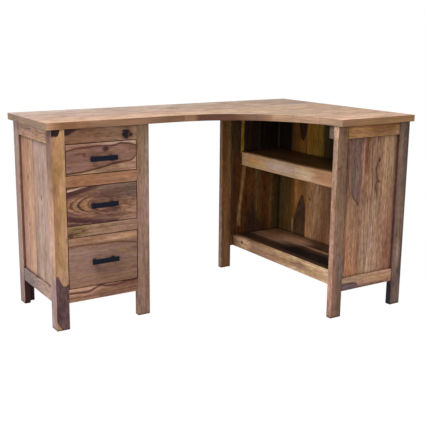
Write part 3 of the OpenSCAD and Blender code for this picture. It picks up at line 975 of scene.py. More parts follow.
# the pedestal: front, then sides, back and runners
PEDESTAL_WOODS: dict[str, Sheesham] = {
    "pedestal_leg_front_left": Sheesham(
        Cut.UPRIGHT, near={0: "a47f60", 14: "ac8761", 50: "b08b6e"},
        far={0: "9c7553", 12: "a47b56", 22: "ad855c", 36: "b48c62", 50: "af8966"},
        figures=(
            Lining("deep", 24, 51, {0: "94786c", 110: "a88c80", 300: "a98b7a", 480: "a68c7c", 560: "94786a",
                                    735: "8c7060"}),
            Patch({Side.SHORT_OF: {0: 198, 10: 205, 16: 192, 24: 173, 32: 165, 42: 167, 50: 170},
                   Side.ABOVE: {0: 24, 14: 15, 30: 6, 46: 0, 735: 0}}, "624850", mottle="443036",
                  rim="2c1c1e", rim_strength=0.6),
            Patch({Side.BEYOND: {0: 712, 8: 713, 20: 712, 28: 719, 33: 735, 50: 735}}, "1a100e",
                  strength=0.99, ragged=3),
            Lining("across", -1, 0.7, {0: "a88c84", 170: "ac9088", 210: "c09c86", 300: "d0aa93",
                                       450: "c49c84", 600: "856654", 735: "7c6058"}),
        ),
        tone=0.82, wander=5, contrast=1.15, weights=(0.5, 0.4, 0.8, 1.3, 0.15), seed=5,
    ),
    "pedestal_leg_front_right": Sheesham(
        Cut.UPRIGHT, near={0: "86695c", 25: "8c705e", 42: "826856", 50: "705848"},
        far={0: "7c6048", 20: "886c58", 40: "917e6e", 50: "7e6a5c"},
        figures=(
            Vein({0: 30, 200: 32, 370: 16, 500: 26, 735: 34}, 6, strength=0.5),
            Blot(390, 30, 220, 40, "98796c", 0.6), Blot(725, 25, 70, 50, "6a5440", 0.8),
        ),
        wander=6, seed=6,
    ),
    "pedestal_apron": Sheesham(
        Cut.FRONT, near={0: "7c5a42", 12: "7f5d47", 53: "70503a"},
        far={0: "86664f", 25: "84664f", 53: "7a5c48"},
        figures=(
            Patch({Side.ABOVE: {0: 31, 12: 33, 30: 41, 52: 51, 60: 53, 281: 53}}, "2c1a16", strength=0.98,
                  ragged=3),
            Knot(238, 23, 17, 20, "161014", halo="4a342a", strength=1, spiky=1.7),
            Knot(257, 19, 8, 7, "241818", spiky=1), Flecks(150, 26, 60, 18, "634631", 0.6),
        ),
        tone=0.9, wander=4, contrast=0.9, seed=7,
    ),
    "pedestal_upper_divider": Sheesham(
        Cut.FRONT, near={0: "a27252", 41: "9c6e50"}, far={0: "a87c60", 41: "aa7a5a"},
        figures=(
            Flecks(70, 16, 60, 12, "8a5a34", 0.6), Flecks(220, 24, 60, 10, "c08c70", 0.4),
        ),
        tone=0.72, wander=4, contrast=0.8, seed=8,
    ),
    "pedestal_lower_divider": Sheesham(
        Cut.FRONT, near={0: "987a60", 41: "92745a"}, far={0: "90705a", 41: "90705c"},
        figures=(
            Blot(20, 20, 74, 26, "7c6242", 0.9), Flecks(36, 18, 40, 20, "4c3826", 0.8),
            Knot(12, 8, 12, 7, "3c281e", strength=0.8, spiky=1),
            Vein({0: 30, 40: 14, 70: 22, 281: 24}, strength=0.5),
        ),
        tone=0.98, wander=5, contrast=0.9, seed=9,
    ),
    "pedestal_front_rail": Sheesham(
        Cut.FRONT, near={0: "8a6654", 20: "a0785f", 50: "b48e76"},
        far={0: "82604e", 20: "8a6452", 50: "926c5a"},
        figures=(
            Vein({0: 36, 40: 33, 76: 32, 102: 41, 126: 48, 150: 43, 190: 40, 230: 47, 281: 50}, 8,
                 tone="4c281f", strength=0.95, ragged=3),
            Vein({0: 16, 100: 14, 200: 18, 281: 22}, 6, tone="5a3428", strength=0.6),
            Vein({120: 6, 200: 8, 281: 10}, 5, tone="5a3428", strength=0.6), Blot(240, 40, 70, 12, "603c30"),
            Blot(130, 24, 26, 10, "704c40", 0.5),
        ),
        tone=0.92, wander=4, contrast=0.9, seed=10,
    ),
    # its front face is partly dark wood and partly painted shade of the recess beside the side panel, nearly
    # black at the foot
    "pedestal_leg_rear_left": Sheesham(
        Cut.UPRIGHT, near={0: "8e716b", 0.6: "8e716b", 1.4: "301818", 50: "301818"},
        far={0: "9b8277", 0.6: "9b8277", 1.4: "7e5642", 50: "7e5642"},
        figures=(
            Blot(620, 0, 100, 3, "98847c", 0.6),
        ),
        wander=0, contrast=0.7, seed=13, turn=(0.13, 0.2),
    ),
    "pedestal_leg_rear_right": Sheesham(Cut.UPRIGHT, near={0: "8c7060", 50: "7c604e"}, seed=14, heart=0.6),
    "pedestal_left_panel": Sheesham(
        Cut.SIDE, near={0: "a8917f", 60: "a88c7c", 120: "a8907e", 160: "94786a", 164: "5c4434",
                        167: "b89478", 210: "bd9478", 250: "b08878", 296: "a47c6c"},
        far={0: "a48a7a", 50: "a3897b", 120: "a88e80", 160: "a08270", 164: "5c4434", 167: "a88268",
             200: "b48e74", 240: "a87c62", 296: "a08068"},
        figures=(
            Vein({0: 60, 150: 62, 250: 64, 410: 66, 532: 70}, 6, tone="7a5e52", strength=0.4),
            Flecks(228, 94, 60, 16, "84685c", 0.6), Knot(322, 93, 9, 6, "745850", halo="8a6c60"),
            Knot(375, 228, 11, 8, "7a563e", halo="94694c"), Knot(192, 230, 9, 7, "6e4a34", halo="94694c"),
            Knot(500, 218, 16, 9, "8c6650", halo="9c745c", strength=0.6),
            Blot(260, 200, 200, 36, "bd9778", 0.5), Blot(500, 130, 60, 20, "a89282", 0.5),
        ),
        boards=2, wander=6, contrast=1.15, weights=(0.7, 0.5, 1, 1.2, 0.15), seed=11, joint=16,
    ),
    "pedestal_right_panel": Sheesham(
        Cut.SIDE, near=PLAIN_PANEL,
        boards=2, seed=15, board_shift=0.25, heart=0.8,
    ),
    "pedestal_back_panel": Sheesham(
        Cut.UPRIGHT, near=PLAIN_PANEL,
        boards=3, seed=16, board_shift=0.25, heart=0.8,
    ),
    "pedestal_left_rails": Sheesham(
        Cut.SIDE_RAIL, near={0: "a6897c", 50: "a6897c", 582: "b08a6a", 635: "ae8a70"},
        far={0: "7c6c67", 50: "806f69", 582: "b08a74", 635: "a88470"},
        wander=4, contrast=1.4, seed=12,
    ),
    "pedestal_right_rails": Sheesham(Cut.SIDE_RAIL, near=PLAIN_RAIL, seed=17, heart=0.6),
    "pedestal_back_rails": Sheesham(Cut.FRONT, near=PLAIN_RAIL, seed=18, heart=0.6),
    "top_runners": Sheesham(Cut.SIDE_RAIL, near=RUNNER_SAP, seed=19),
    "middle_runners": Sheesham(Cut.SIDE_RAIL, near=RUNNER_SAP, seed=20),
    "bottom_runners": Sheesham(Cut.SIDE_RAIL, near=RUNNER_SAP, seed=21),
}

# the drawer fronts, from the top one down
DRAWER_FRONTS: dict[str, Sheesham] = {
    "top": Sheesham(
        Cut.FRONT, near={0: "ae8c6c", 40: "a07a62", 85: "a27c66", 110: "966f5a"},
        far={0: "9e7a60", 60: "ac8870", 110: "bc9c8a"},
        figures=(
            Patch({Side.BELOW: {0: 86, 33: 93, 78: 96, 128: 98, 158: 97, 190: 97, 213: 103, 228: 102,
                                258: 97, 277: 90},
                   Side.ABOVE: {0: 5, 48: 8, 88: 12, 128: 18, 178: 28, 218: 34, 248: 36, 263: 42, 273: 52,
                                277: 60}}, "7c5b50", mottle="8a6454", rim="4c2a1e", rim_width=6.5,
                  rim_strength=0.95, ragged=4),
            Knot(154, 86, 12, 9, "3e2422", halo="5e4038"), Knot(70, 69, 8, 7, "653a30", halo="74493c"),
            Blot(48, 74, 18, 9, "64443a", 0.6), Blot(24, 54, 36, 20, "6a4636", 0.45),
            Flecks(120, 62, 60, 24, "5e4238", 0.4),
        ),
        tone=0.8, wander=5, contrast=0.9, seed=22, edge=2.6,
    ),
    "middle": Sheesham(
        Cut.FRONT, near={0: "7c5a4c", 30: "84604f", 60: "7a5648", 100: "6e5044", 139: "7c6250"},
        far={0: "947060", 30: "a87e68", 60: "a07862", 100: "70564a", 139: "806856"},
        figures=(
            Flecks(200, 60, 90, 60, "5e4030", 0.6),
            Arches(axis=71, bend=22, start=-152, bands={0: "c8a68a", 22: "b8947a", 32: "55353a",
                                                        50: "46282c", 96: "4e3030", 112: "6a4640",
                                                        124: "7a5a4c", 140: "86604e"}, fade=(85, 150)),
            Arches(axis=73, bend=20, start=-8, bands={0: "9a7058", 14: "9c725c", 20: "6a3c28", 24: "6e4230",
                                                      30: "9c7a5e", 42: "a07c60", 47: "4e3030", 54: "4a2e2e",
                                                      59: "8c6648", 76: "a07a58", 86: "8c6440", 89: "5c3e28",
                                                      93: "8a6a4e", 100: "7c5c44"}, fade=(84, 96),
                   spread=(18, 44)),
            Flecks(253, 109, 34, 24, "5e5248", 0.8), Blot(234, 67, 12, 7, "84503c", 0.5),
            Blot(50, 3, 90, 10, "5a3a38", 0.9), Flecks(128, 102, 50, 14, "6e453a", 0.5),
            Blot(176, 46, 44, 12, "583830"), Blot(178, 114, 60, 18, "64463a", 0.5),
            Vein({104: 54, 130: 44, 160: 36}, tone="4c241c", strength=0.8),
            Vein({96: 46, 128: 34, 170: 26}, 3, tone="5a3024", strength=0.6),
            Vein({60: 28, 110: 16, 200: 8}, 5, tone="4a2c2c", strength=0.6),
            Vein({0: 15, 30: 14, 80: 11, 140: 5, 200: 2}, 7, tone="422628", strength=0.85),
            Blot(190, 24, 80, 12, "5e3c34", 0.5),
            Vein({8: 48, 30: 40, 52: 34}, 5, tone="5c3832", strength=0.8),
        ),
        tone=0.8, wander=7, contrast=1.1, seed=23, edge=2.6,
    ),
    "bottom": Sheesham(
        Cut.FRONT, near={0: "8c6854", 60: "907060", 145: "927466", 152: "96745e", 189: "a2795f"},
        far={0: "886654", 60: "866654", 145: "8a6c5c", 152: "90705a", 189: "a27c62"},
        figures=(
            Vein({0: 156, 50: 157, 130: 155, 208: 152, 277: 141}, 8, tone="5c3824", strength=0.8, ragged=3),
            Blot(200, 172, 96, 11, "c49a76", 0.85), Blot(218, 120, 30, 9, "9a7a54", 0.6),
            Blot(60, 118, 60, 20, "947468", 0.5), Blot(135, 62, 60, 22, "74544a", 0.6),
            Blot(225, 90, 40, 30, "7e6050", 0.4),
        ),
        tone=0.88, wander=5, contrast=0.8, seed=24, edge=2.6,
    ),
}

# the shelf unit: near end, compartments, far end and back
UNIT_WOODS: dict[str, Sheesham] = {
    "unit_near_panel": Sheesham(
        Cut.UPRIGHT, near={0: "8c5e46", 26: "9a7054", 60: "9a7256", 86: "8c6a50", 88: "8c6c54",
                           130: "a88872", 172: "98785f", 174: "9c785f", 200: "987460", 216: "8a604a",
                           235: "875f4a", 260: "7b5040"},
        far={0: "6e4e3c", 46: "765e4e", 86: "866450", 90: "a07c6e", 96: "96705e", 103: "7c5034",
             112: "70482e", 118: "805c44", 131: "947058", 150: "866852", 166: "7a5843", 174: "8a6850",
             190: "9a785c", 216: "a08060", 240: "94765c", 260: "7e5e4a"},
        figures=(
            Blot(240, 40, 130, 30, "8c6c52", 0.6),
            Patch({Side.BEYOND: {0: 536, 22: 536, 27: 480, 31: 400, 35: 346, 40: 320, 46: 308, 54: 300,
                                 64: 290, 73: 281, 78: 290, 82: 330, 86: 400, 90: 536, 260: 536}}, "705448",
                  mottle="5a463e", rim="3c221c", rim_width=8, ragged=8),
            Vein({320: 27, 380: 18, 440: 10, 500: 4, 530: 3}, 5, tone="4c2c22", strength=0.5),
            Blot(400, 44, 50, 12, "565046", 0.5), Blot(330, 60, 30, 12, "6c5258", 0.5),
            Flecks(462, 106, 80, 9, "6c432a"), Blot(360, 108, 50, 12, "a07c62", 0.6),
            Vein({250: 162, 300: 166, 330: 160, 358: 160, 366: 164, 380: 160, 430: 161, 440: 166, 446: 169,
                  455: 163, 490: 158, 536: 160}, 6, tone="40241c", strength=0.85, ragged=3),
            Vein({0: 120, 200: 134, 300: 136, 350: 141, 410: 137, 470: 133, 536: 129}, 5, strength=0.55),
            Knot(443, 170, 7, 6, "4a2c20"), Knot(361, 172, 6, 7, "5a3828"),
            Blot(70, 226, 60, 16, "80543f", 0.6), Blot(250, 158, 60, 16, "a48676", 0.6),
            Blot(455, 86, 60, 10, "96705e", 0.6), Blot(490, 160, 40, 14, "946f54", 0.6),
            Blot(24, 46, 36, 30, "9a6446", 0.6), Vein({0: 250, 536: 252}, 10, tone="74564a", strength=0.35),
        ),
        boards=3, tone=1.14, wander=8, contrast=1.3, weights=(0.9, 0.6, 1.5, 0.8, 0.15), seed=30,
    ),
    # towards the top of the upper rail the tones turn darker and more orange: painted shade under the top's
    # overhang
    "unit_near_rails": Sheesham(
        Cut.FRONT, near={0: "8c6c5a", 50: "a08268", 586: "8e6a42", 610: "8a643c", 635: "7c522e"},
        far={0: "a27c60", 50: "a8806a", 586: "8a6a42", 610: "805c34", 635: "7c562e"},
        figures=(
            Patch({Side.BELOW: {0: 25, 60: 24, 75: 20, 86: 8, 95: 0, 260: 0}}, "54464a", rim="3c2a28",
                  ragged=3),
            Blot(150, 5, 130, 10, "624840", 0.8), Blot(150, 625, 90, 10, "84563a", 0.8),
            Blot(60, 604, 70, 30, "a67c54"), Blot(180, 610, 60, 24, "7c5438", 0.6),
            Blot(260, 600, 40, 24, "a27a5c"),
        ),
        tone=1.22, wander=4, contrast=0.9, seed=31,
    ),
    "unit_leg_near_left": Sheesham(
        Cut.UPRIGHT, near={0: "a07868", 12: "8c6759", 30: "765c4d", 50: "68544d"},
        far={0: "80634e", 10: "7b604d", 30: "785c49", 44: "745843", 50: "684c38"},
        figures=(
            Blot(330, 25, 160, 30, "8a7058", 0.6), Blot(505, 40, 44, 9, "684c3c", 0.8),
            Blot(200, 36, 70, 14, "7c6a5e", 0.8), Knot(578, 11, 6, 4, "5c4236"),
            Lining("across", -1, 0.7, {0: "a07c68", 380: "a4806c", 600: "a08470", 735: "a88c76"}),
            Blot(722, 0, 36, 4, "c0a088"),
            Vein({0: 49, 380: 49, 400: 47, 440: 43, 520: 46, 735: 49}, strength=0.5),
        ),
        wander=6, contrast=1.1, seed=32,
    ),
    # its face towards the panel is nearly black at the foot and dark above it: painted shade of the recess
    # beside the panel
    "unit_leg_near_right": Sheesham(
        Cut.UPRIGHT, near={0: "1e1a1c", 0.6: "1e1a1c", 1.4: "5f4d46", 25: "6d5952", 50: "64524b"},
        far={0: "563c36", 0.6: "563c36", 1.4: "705c4e", 20: "725b4e", 40: "56483e", 50: "524439"},
        figures=(
            Knot(235, 13, 9, 6, "5a4a42", halo="6a5850"), Blot(350, 28, 150, 20, "806654", 0.6),
            Blot(215, 22, 70, 16, "96796c", 0.8),
        ),
        tone=1.1, wander=0, contrast=1.2, seed=33, turn=(0.1, 0.2),
    ),
    # towards the far panel its tones fall nearly to black, most in the upper compartment: painted shade of
    # the far corner
    "unit_rear_panel": Sheesham(
        Cut.SIDE, near={0: "7e5c46", 369: "644632", 430: "74543c", 440: "80603f", 454: "866a52",
                        500: "846244", 533: "7c5a40", 536: "6e4c28", 584: "6e4c24", 625: "5c3e1a",
                        634: "4c3416", 669: "3e2e18", 674: "3e301a", 714: "3c2e18", 734: "2c2010"},
        far={0: "5a4a20", 369: "1c180e", 420: "302410", 434: "5a461a", 533: "6e4e1b", 536: "60401a",
             584: "583a16", 645: "3c2814", 650: "120c08", 734: "0e0a08"},
        figures=(
            Patch({Side.BEYOND: {0: 635, 533: 635, 538: 560, 545: 525, 556: 500, 567: 492, 578: 500,
                                 588: 530, 598: 570, 602: 635, 734: 635}}, "24160c", mottle="1a100a",
                  rim="150c06"),
            Blot(250, 600, 80, 18, "8a6038", 0.75), Blot(92, 628, 34, 5, "84705a", 0.9),
            Patch({Side.SHORT_OF: {0: 0, 530: 0, 534: 60, 536: 180, 545: 215, 561: 238, 575: 222, 585: 203,
                                   597: 172, 607: 140, 614: 100, 620: 60, 622: 0, 734: 0}}, "3c2c20",
                  mottle="2c2018", rim="32160c", rim_width=7),
            Knot(232, 506, 7, 5, "4a2c1c", halo="6a4834"), Blot(360, 712, 60, 16, "2a1c20", 0.6),
            Blot(50, 430, 110, 70, "543824", 0.75), Blot(330, 490, 90, 34, "946a4a", 0.5),
            Blot(150, 668, 60, 8, "5c3c14"),
            Lining("deep", 7, 20, {0: "5c4636", 180: "664d3c", 380: "5e4838", 635: "684f3e"}, strength=1,
                   planked=True),
        ),
        boards=7, tone=2.1, wander=6, contrast=1.1, seed=34, turn=(0.62, 0.7),
    ),
    # towards the rear panel its tones fall nearly to black, most in the upper compartment: painted shade of
    # the far corner
    "unit_far_panel": Sheesham(
        Cut.UPRIGHT, near={0: "42281c", 40: "442810", 52: "48290f", 72: "4a2c14", 130: "4a2c16",
                           140: "544022", 155: "523a20", 165: "4a2c14", 215: "482a14", 220: "5a3e1e",
                           235: "543a1e", 245: "3a2c16", 260: "33290f"},
        far={0: "44301c", 48: "342418", 51: "826a28", 65: "826a28", 69: "22160e", 110: "241610",
             145: "1a1210", 151: "262016", 156: "120c08", 260: "0c0806"},
        figures=(
            Vein({40: 44, 100: 46, 200: 58, 320: 71}, 15, tone="8a6a44", strength=0.8, ragged=12),
            Patch({Side.ABOVE: {0: 88, 30: 88, 100: 94, 140: 108, 536: 108},
                   Side.BELOW: {0: 196, 20: 190, 60: 150, 100: 136, 140: 120, 150: 108, 536: 108}}, "2c1e16",
                  mottle="352419", rim="1c1008", soft=30, rim_strength=0.3, ragged=30),
            Flecks(270, 146, 60, 13, "54462c"), Flecks(140, 146, 60, 9, "644a28", 0.6),
            Flecks(250, 96, 90, 26, "5c3612", 0.6), Flecks(190, 190, 120, 20, "5c3a16", 0.5),
            Flecks(300, 190, 60, 30, "3a2412", 0.5),
            Lining("deep", 7, 20, {0: "7e624e", 200: "755a46", 420: "836651", 536: "7a5e4a"}, strength=1,
                   planked=True),
        ),
        boards=3, tone=1.36, wander=9, contrast=1.5, seed=35, turn=(0.66, 0.74),
    ),
    "upper_shelf_rail": Sheesham(
        Cut.SIDE_RAIL, near={0: "987454", 59: "946e50"}, far={0: "c8a680", 59: "bc986e"},
        figures=(
            Blot(60, 30, 40, 30, "a07450"), Blot(440, 30, 110, 30, "ccb6aa"),
            Blot(300, 30, 80, 30, "cab494", 0.6), Blot(650, 30, 60, 24, "c0904c", 0.6),
        ),
        tone=1.2, wander=4, contrast=0.55, seed=36,
    ),
    "lower_shelf_rail": Sheesham(
        Cut.SIDE_RAIL, near={0: "dcb890", 49: "e0be96"}, far={0: "a07c5c", 49: "b08a68"},
        figures=(
            Blot(170, 25, 100, 26, "a47e5c", 0.6), Blot(648, 25, 60, 40, "f0c498", 0.85),
            Blot(250, 28, 60, 20, "94705c"), Blot(330, 24, 60, 20, "8c683c", 0.6),
            Blot(420, 20, 50, 20, "946444", 0.6), Blot(480, 26, 90, 20, "a8846a", 0.6),
            Knot(662, 30, 9, 6, "7c543c", halo="946c50"),
        ),
        tone=0.8, wander=4, contrast=1.05, seed=37,
    ),
    "lower_shelf": Sheesham(
        Cut.SHELF, near={0: "241812", 26: "20140f", 30: "050405", 94: "070506", 104: "1c130d", 155: "1e140f",
                         157: "1e140e", 234: "3a291a"},
        far={0: "3c2a1c", 26: "2c1e14", 40: "2c1e14", 72: "3c2a1e", 82: "6e5440", 155: "705640",
             157: "6a4e36", 234: "644832"},
        figures=(
            Vein({0: 118, 200: 122, 330: 116, 500: 110}, 8, tone="2a1812", strength=0.8),
            Flecks(120, 180, 100, 10, "2c1a14"), Blot(520, 160, 120, 50, "8a6a52"),
            Blot(330, 140, 120, 14, "6c503c", 0.6),
        ),
        boards=3, tone=2.1, wander=3, contrast=1.1, seed=38, turn=(0.55, 0.85),
    ),
    "upper_shelf": Sheesham(
        Cut.SHELF, near={0: "4e3a1e", 60: "5c4426", 130: "4c3620", 200: "4a3018"},
        boards=2, tone=1.4, seed=39,
    ),
    "lower_cleats": Sheesham(Cut.FRONT, near=CLEAT_BROWN, seed=40),
    "upper_cleats": Sheesham(Cut.FRONT, near=CLEAT_BROWN, seed=41),
    # the dark tones of its front face, darkest beside the far panel, are partly painted shade under the top
    "unit_leg_far_left": Sheesham(
        Cut.UPRIGHT, near={0: "846f5e", 0.6: "846f5e", 1.4: "583a28", 25: "64472e", 40: "593e25",
                           50: "402c1c"},
        far={0: "694f38", 0.6: "694f38", 1.4: "4c2e16", 20: "54381c", 36: "5c482a", 50: "3c2c1c"},
        figures=(
            Blot(700, 14, 70, 30, "5c4028", 0.6), Blot(340, 26, 130, 40, "6a4a2c", 0.6),
        ),
        tone=1.6, wander=0, contrast=1.2, seed=42,
    ),
    "unit_leg_far_right": Sheesham(
        Cut.UPRIGHT, near={0: "3c3018", 12: "3c3018", 14: "84664f", 50: "7c5e4a"},
        wander=0, seed=43,
    ),
    "unit_far_rails": Sheesham(Cut.FRONT, near={0: "6c5038", 635: "5a422e"}, seed=44, heart=0.6),
    "unit_rear_rails": Sheesham(
        Cut.SIDE_RAIL, near={0: "8c6c56", 60: "94745c", 130: "846450", 260: "90705a"},
        seed=45, heart=0.6,
    ),
}


def dress_boards(woods: dict[str, Sheesham], easing: float) -> None:
    """Joins the loose triangles of CAD nodes, rounds their edges and dresses them.

    Args:
        woods: the wood of each node.
        easing: how far the rounding runs from each edge, in millimetres.
    """
    for node, wood in woods.items():
        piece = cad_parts[node]
        weld = piece.modifiers.new("join", "WELD")
        weld.merge_threshold = WELD_GAP * MM
        bevel = piece.modifiers.new("eased_edges", "BEVEL")
        bevel.width = easing * MM
        bevel.segments = 2
        bevel.limit_method = "ANGLE"
        bevel.angle_limit = EASED_ANGLE
        bevel.use_clamp_overlap = True
        wood.dress(piece, node)


def stand(name: str, data: bpy.types.ID) -> bpy.types.Object:
    """Puts new data into the scene.

    Args:
        name: the object's name.
        data: its mesh, light or camera.

    Returns:
        The object, at the origin.
    """
    thing = bpy.data.objects.new(name, data)
    bpy.context.scene.collection.objects.link(thing)
    return thing


def turn_outwards(mesh: bpy.types.Mesh) -> None:
    """Makes a closed mesh's faces point outwards, by flipping them all if its signed volume is negative.

    Args:
        mesh: the mesh to turn.
    """
    mesh.calc_loop_triangles()
    corners = np.zeros(len(mesh.loop_triangles) * 3, np.int32)
    mesh.loop_triangles.foreach_get("vertices", corners)
    places = np.zeros(len(mesh.vertices) * 3, np.float32)
    mesh.vertices.foreach_get("co", places)
    a, b, c = places.reshape(-1, 3)[corners.reshape(-1, 3)].transpose(1, 0, 2)
    if np.einsum("ij,ij->i", a, np.cross(b, c)).sum() < 0:
        mesh.flip_normals()


def mesh_from_rings(name: str, *tubes: np.ndarray) -> bpy.types.Object:
    """Makes one closed mesh from stacks of rings.

    Neighbouring rings are joined by quads and the first and last ring are capped.

    Args:
        name: the object's name.
        tubes: arrays of rings by points by three, in metres.

    Returns:
        The new object, whose origin is the frame's.
    """
    points, quads, caps, start = [], [], [], 0
    for tube in tubes:
        count, size, _ = tube.shape
        index = start + np.arange(count * size).reshape(count, size)
        after = np.roll(index, -1, axis=1)
        quads.append(np.stack([index[:-1], after[:-1], after[1:], index[1:]], 2).reshape(-1, 4))
        caps += [index[0][::-1].tolist(), index[-1].tolist()]
        points.append(tube.reshape(-1, 3))
        start += count * size
    mesh = bpy.data.meshes.new(name)
    mesh.from_pydata(np.concatenate(points).tolist(), [], np.concatenate(quads).tolist() + caps)
    mesh.update()
    piece = stand(name, mesh)
    turn_outwards(mesh)
    mesh.shade_smooth()
    mesh.set_sharp_from_angle(angle=SHARP_ANGLE)
    return piece


@dataclass(frozen=True)
class DeskTop:
    """The L-shaped top with its cleat and the rail under its rear edge. Sizes are in millimetres."""

    top_easing: float = 0.4
    rail_easing: float = 1.0

    def build(self) -> None:
        """Dresses the boards of the top and what carries them."""
        dress_boards(TOP_BOARDS, self.top_easing)
        dress_boards(TOP_SUPPORTS, self.rail_easing)


@dataclass(frozen=True)
class Pedestal:
    """The drawer pedestal's legs, rails, panels and runners. Sizes are in millimetres."""

    easing: float = 1.0

    def build(self) -> None:
        """Dresses the pedestal's boards."""
        dress_boards(PEDESTAL_WOODS, self.easing)


@dataclass(frozen=True)
class ShelfUnit:
    """The open shelf unit under the short side of the top. Sizes are in millimetres."""

    easing: float = 1.0

    def build(self) -> None:
        """Dresses the unit's boards."""
        dress_boards(UNIT_WOODS, self.easing)


@dataclass(frozen=True)
class Drawer:
    """One drawer: its front, box, flat-bar pull and two screws.

    Sizes are in millimetres. The slot's reach, its depth and the rim are shares of a screw head's radius and
    height.
    """

    name: str
    front: Sheesham
    seed: float
    easing: float = 1.0
    bar_thickness: float = 6.0
    foot_width: float = 12.0
    foot_inset: float = 10.0
    foot_drop: float = 3.0
    foot_rise: float = 1.5
    foot_lap: float = 2.0
    corner: float = 1.3
    around: int = 32
    slot_half: float = 0.55
    slot_reach: float = 0.62
    slot_depth: float = 0.5
    rim_share: float = 0.55

    def pull(self) -> bpy.types.Object:
        """Builds the pull: a straight flat bar on two feet, all with rounded corners.

        Returns:
            The pull's object.
        """
        node = self.name + "_pull"
        low, high = (np.array(corner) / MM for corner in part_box(node))
        back = low[1] + self.bar_thickness
        bar = self.block(tuple(low), (high[0], back, high[2]), 0)
        lefts = (low[0] + self.foot_inset, high[0] - self.foot_inset - self.foot_width)
        start, base = back - self.foot_lap, low[2] + self.foot_rise
        top = high[2] - self.foot_drop
        feet = [self.block((x, start, base), (x + self.foot_width, high[1], top), 1) for x in lefts]
        return mesh_from_rings(node + "_bar", bar, *feet)

    def block(self, low: Point, high: Point, axis: int) -> np.ndarray:
        """Works out a rounded block as rings along one axis.

        Each ring is a rounded rectangle. At both ends it shrinks by the cosine and moves by the sine of the
        same angle, so that the ends are rounded too.

        Args:
            low: the block's lowest corner in millimetres.
            high: its highest corner.
            axis: the axis that the rings follow.

        Returns:
            Rings by points by three, in metres.
        """
        r = self.corner
        arc = np.linspace(0, np.pi / 2, 5)
        start, end = low[axis], high[axis]
        run = np.concatenate([start + r - r * np.cos(arc), end - r + r * np.sin(arc)])
        shrink = np.concatenate([r - r * np.sin(arc), r - r * np.cos(arc)])
        turn = (np.arange(self.around) + 0.5) * 2 * np.pi / self.around
        radius = (r - shrink)[:, None]
        rings = np.zeros((len(run), len(turn), 3))
        rings[..., axis] = run[:, None]
        for other, way in (((axis + 1) % 3, np.cos(turn)), ((axis + 2) % 3, np.sin(turn))):
            middle = (low[other] + high[other]) / 2
            half = (high[other] - low[other]) / 2 - r
            rings[..., other] = middle + half * np.sign(way) + radius * way
        return rings * MM

    def screws(self) -> bpy.types.Object:
        """Builds two pan heads: a low dome over a disc, with a cross pressed into it.

        Height over the disc is the rim's height plus a parabola, less the cross's depth where the distance
        from either centre line is under half the slot's width.

        Returns:
            The object with both heads.
        """
        node = self.name + "_pull_screws"
        low, high = (np.array(corner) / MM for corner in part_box(node))
        radius = (high[2] - low[2]) / 2
        height = high[1] - low[1]
        turn = np.linspace(0, 2 * np.pi, 40, endpoint=False)
        share, angle = np.meshgrid(np.linspace(0.02, 1, 14), turn, indexing="ij")
        x, z = share * radius * np.cos(angle), share * radius * np.sin(angle)
        dome = height * (self.rim_share + (1 - self.rim_share) * (1 - share**2))
        slot = (np.minimum(abs(x), abs(z)) < self.slot_half) & (share < self.slot_reach)
        dome = dome - self.slot_depth * height * slot
        wall = np.stack([x[-1], np.zeros_like(x[-1]), z[-1]], 1)
        head = np.concatenate([np.stack([x, dome, z], 2), wall[None]])
        middle = (low[2] + high[2]) / 2
        heads = [(head + (px, low[1], middle)) * MM for px in (low[0] + radius, high[0] - radius)]
        return mesh_from_rings(node + "_heads", *heads)

    def woods(self) -> dict[str, Sheesham]:
        """Lists the wood of the drawer's boards: pale sapwood behind the front.

        Returns:
            The wood of each node.
        """
        pale = {0: "b99c7c", 60: "c0a484", 180: "b49678"}
        floor = {0: "b08e6c", 120: "bb9a78", 251: "b08e6c"}
        body = self.name + "_drawer_"
        return {
            body + "left_side": Sheesham(Cut.SIDE_RAIL, near=pale, seed=self.seed),
            body + "right_side": Sheesham(Cut.SIDE_RAIL, near=pale, seed=self.seed + 0.2),
            body + "back": Sheesham(Cut.FRONT, near=pale, seed=self.seed + 0.4),
            body + "bottom": Sheesham(Cut.SHELF, near=floor, seed=self.seed + 0.6),
            body + "front": self.front,
        }

    def build(self) -> None:
        """Dresses the drawer's boards, and builds its pull and screws in place of the CAD's."""
        dress_boards(self.woods(), self.easing)
        for piece, node, slot, finish in (
            (self.pull(), "_pull", "black_metal", BlackIron()),
            (self.screws(), "_pull_screws", "screw_steel", ZincSteel()),
        ):
            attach(piece, self.name + "_drawer")
            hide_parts(self.name + node)
            finish.dress(piece)


@dataclass(frozen=True)
class Lamp:
    """A square soft light: its place, aim and side in metres, and its power in watts."""

    name: str
    place: Point
    aim: Point
    side: float
    power: float
    tint: str

    def build(self) -> None:
        """Adds the light, facing its aim."""
        data = bpy.data.lights.new(self.name, "AREA")
        data.shape = "SQUARE"
        data.size = self.side
        data.energy = self.power
        data.color = linear(self.tint)[:3]
        aimed = (Vector(self.aim) - Vector(self.place)).to_track_quat("-Z", "Y")
        stand(self.name, data).matrix_world = Matrix.Translation(self.place) @ aimed.to_matrix().to_4x4()


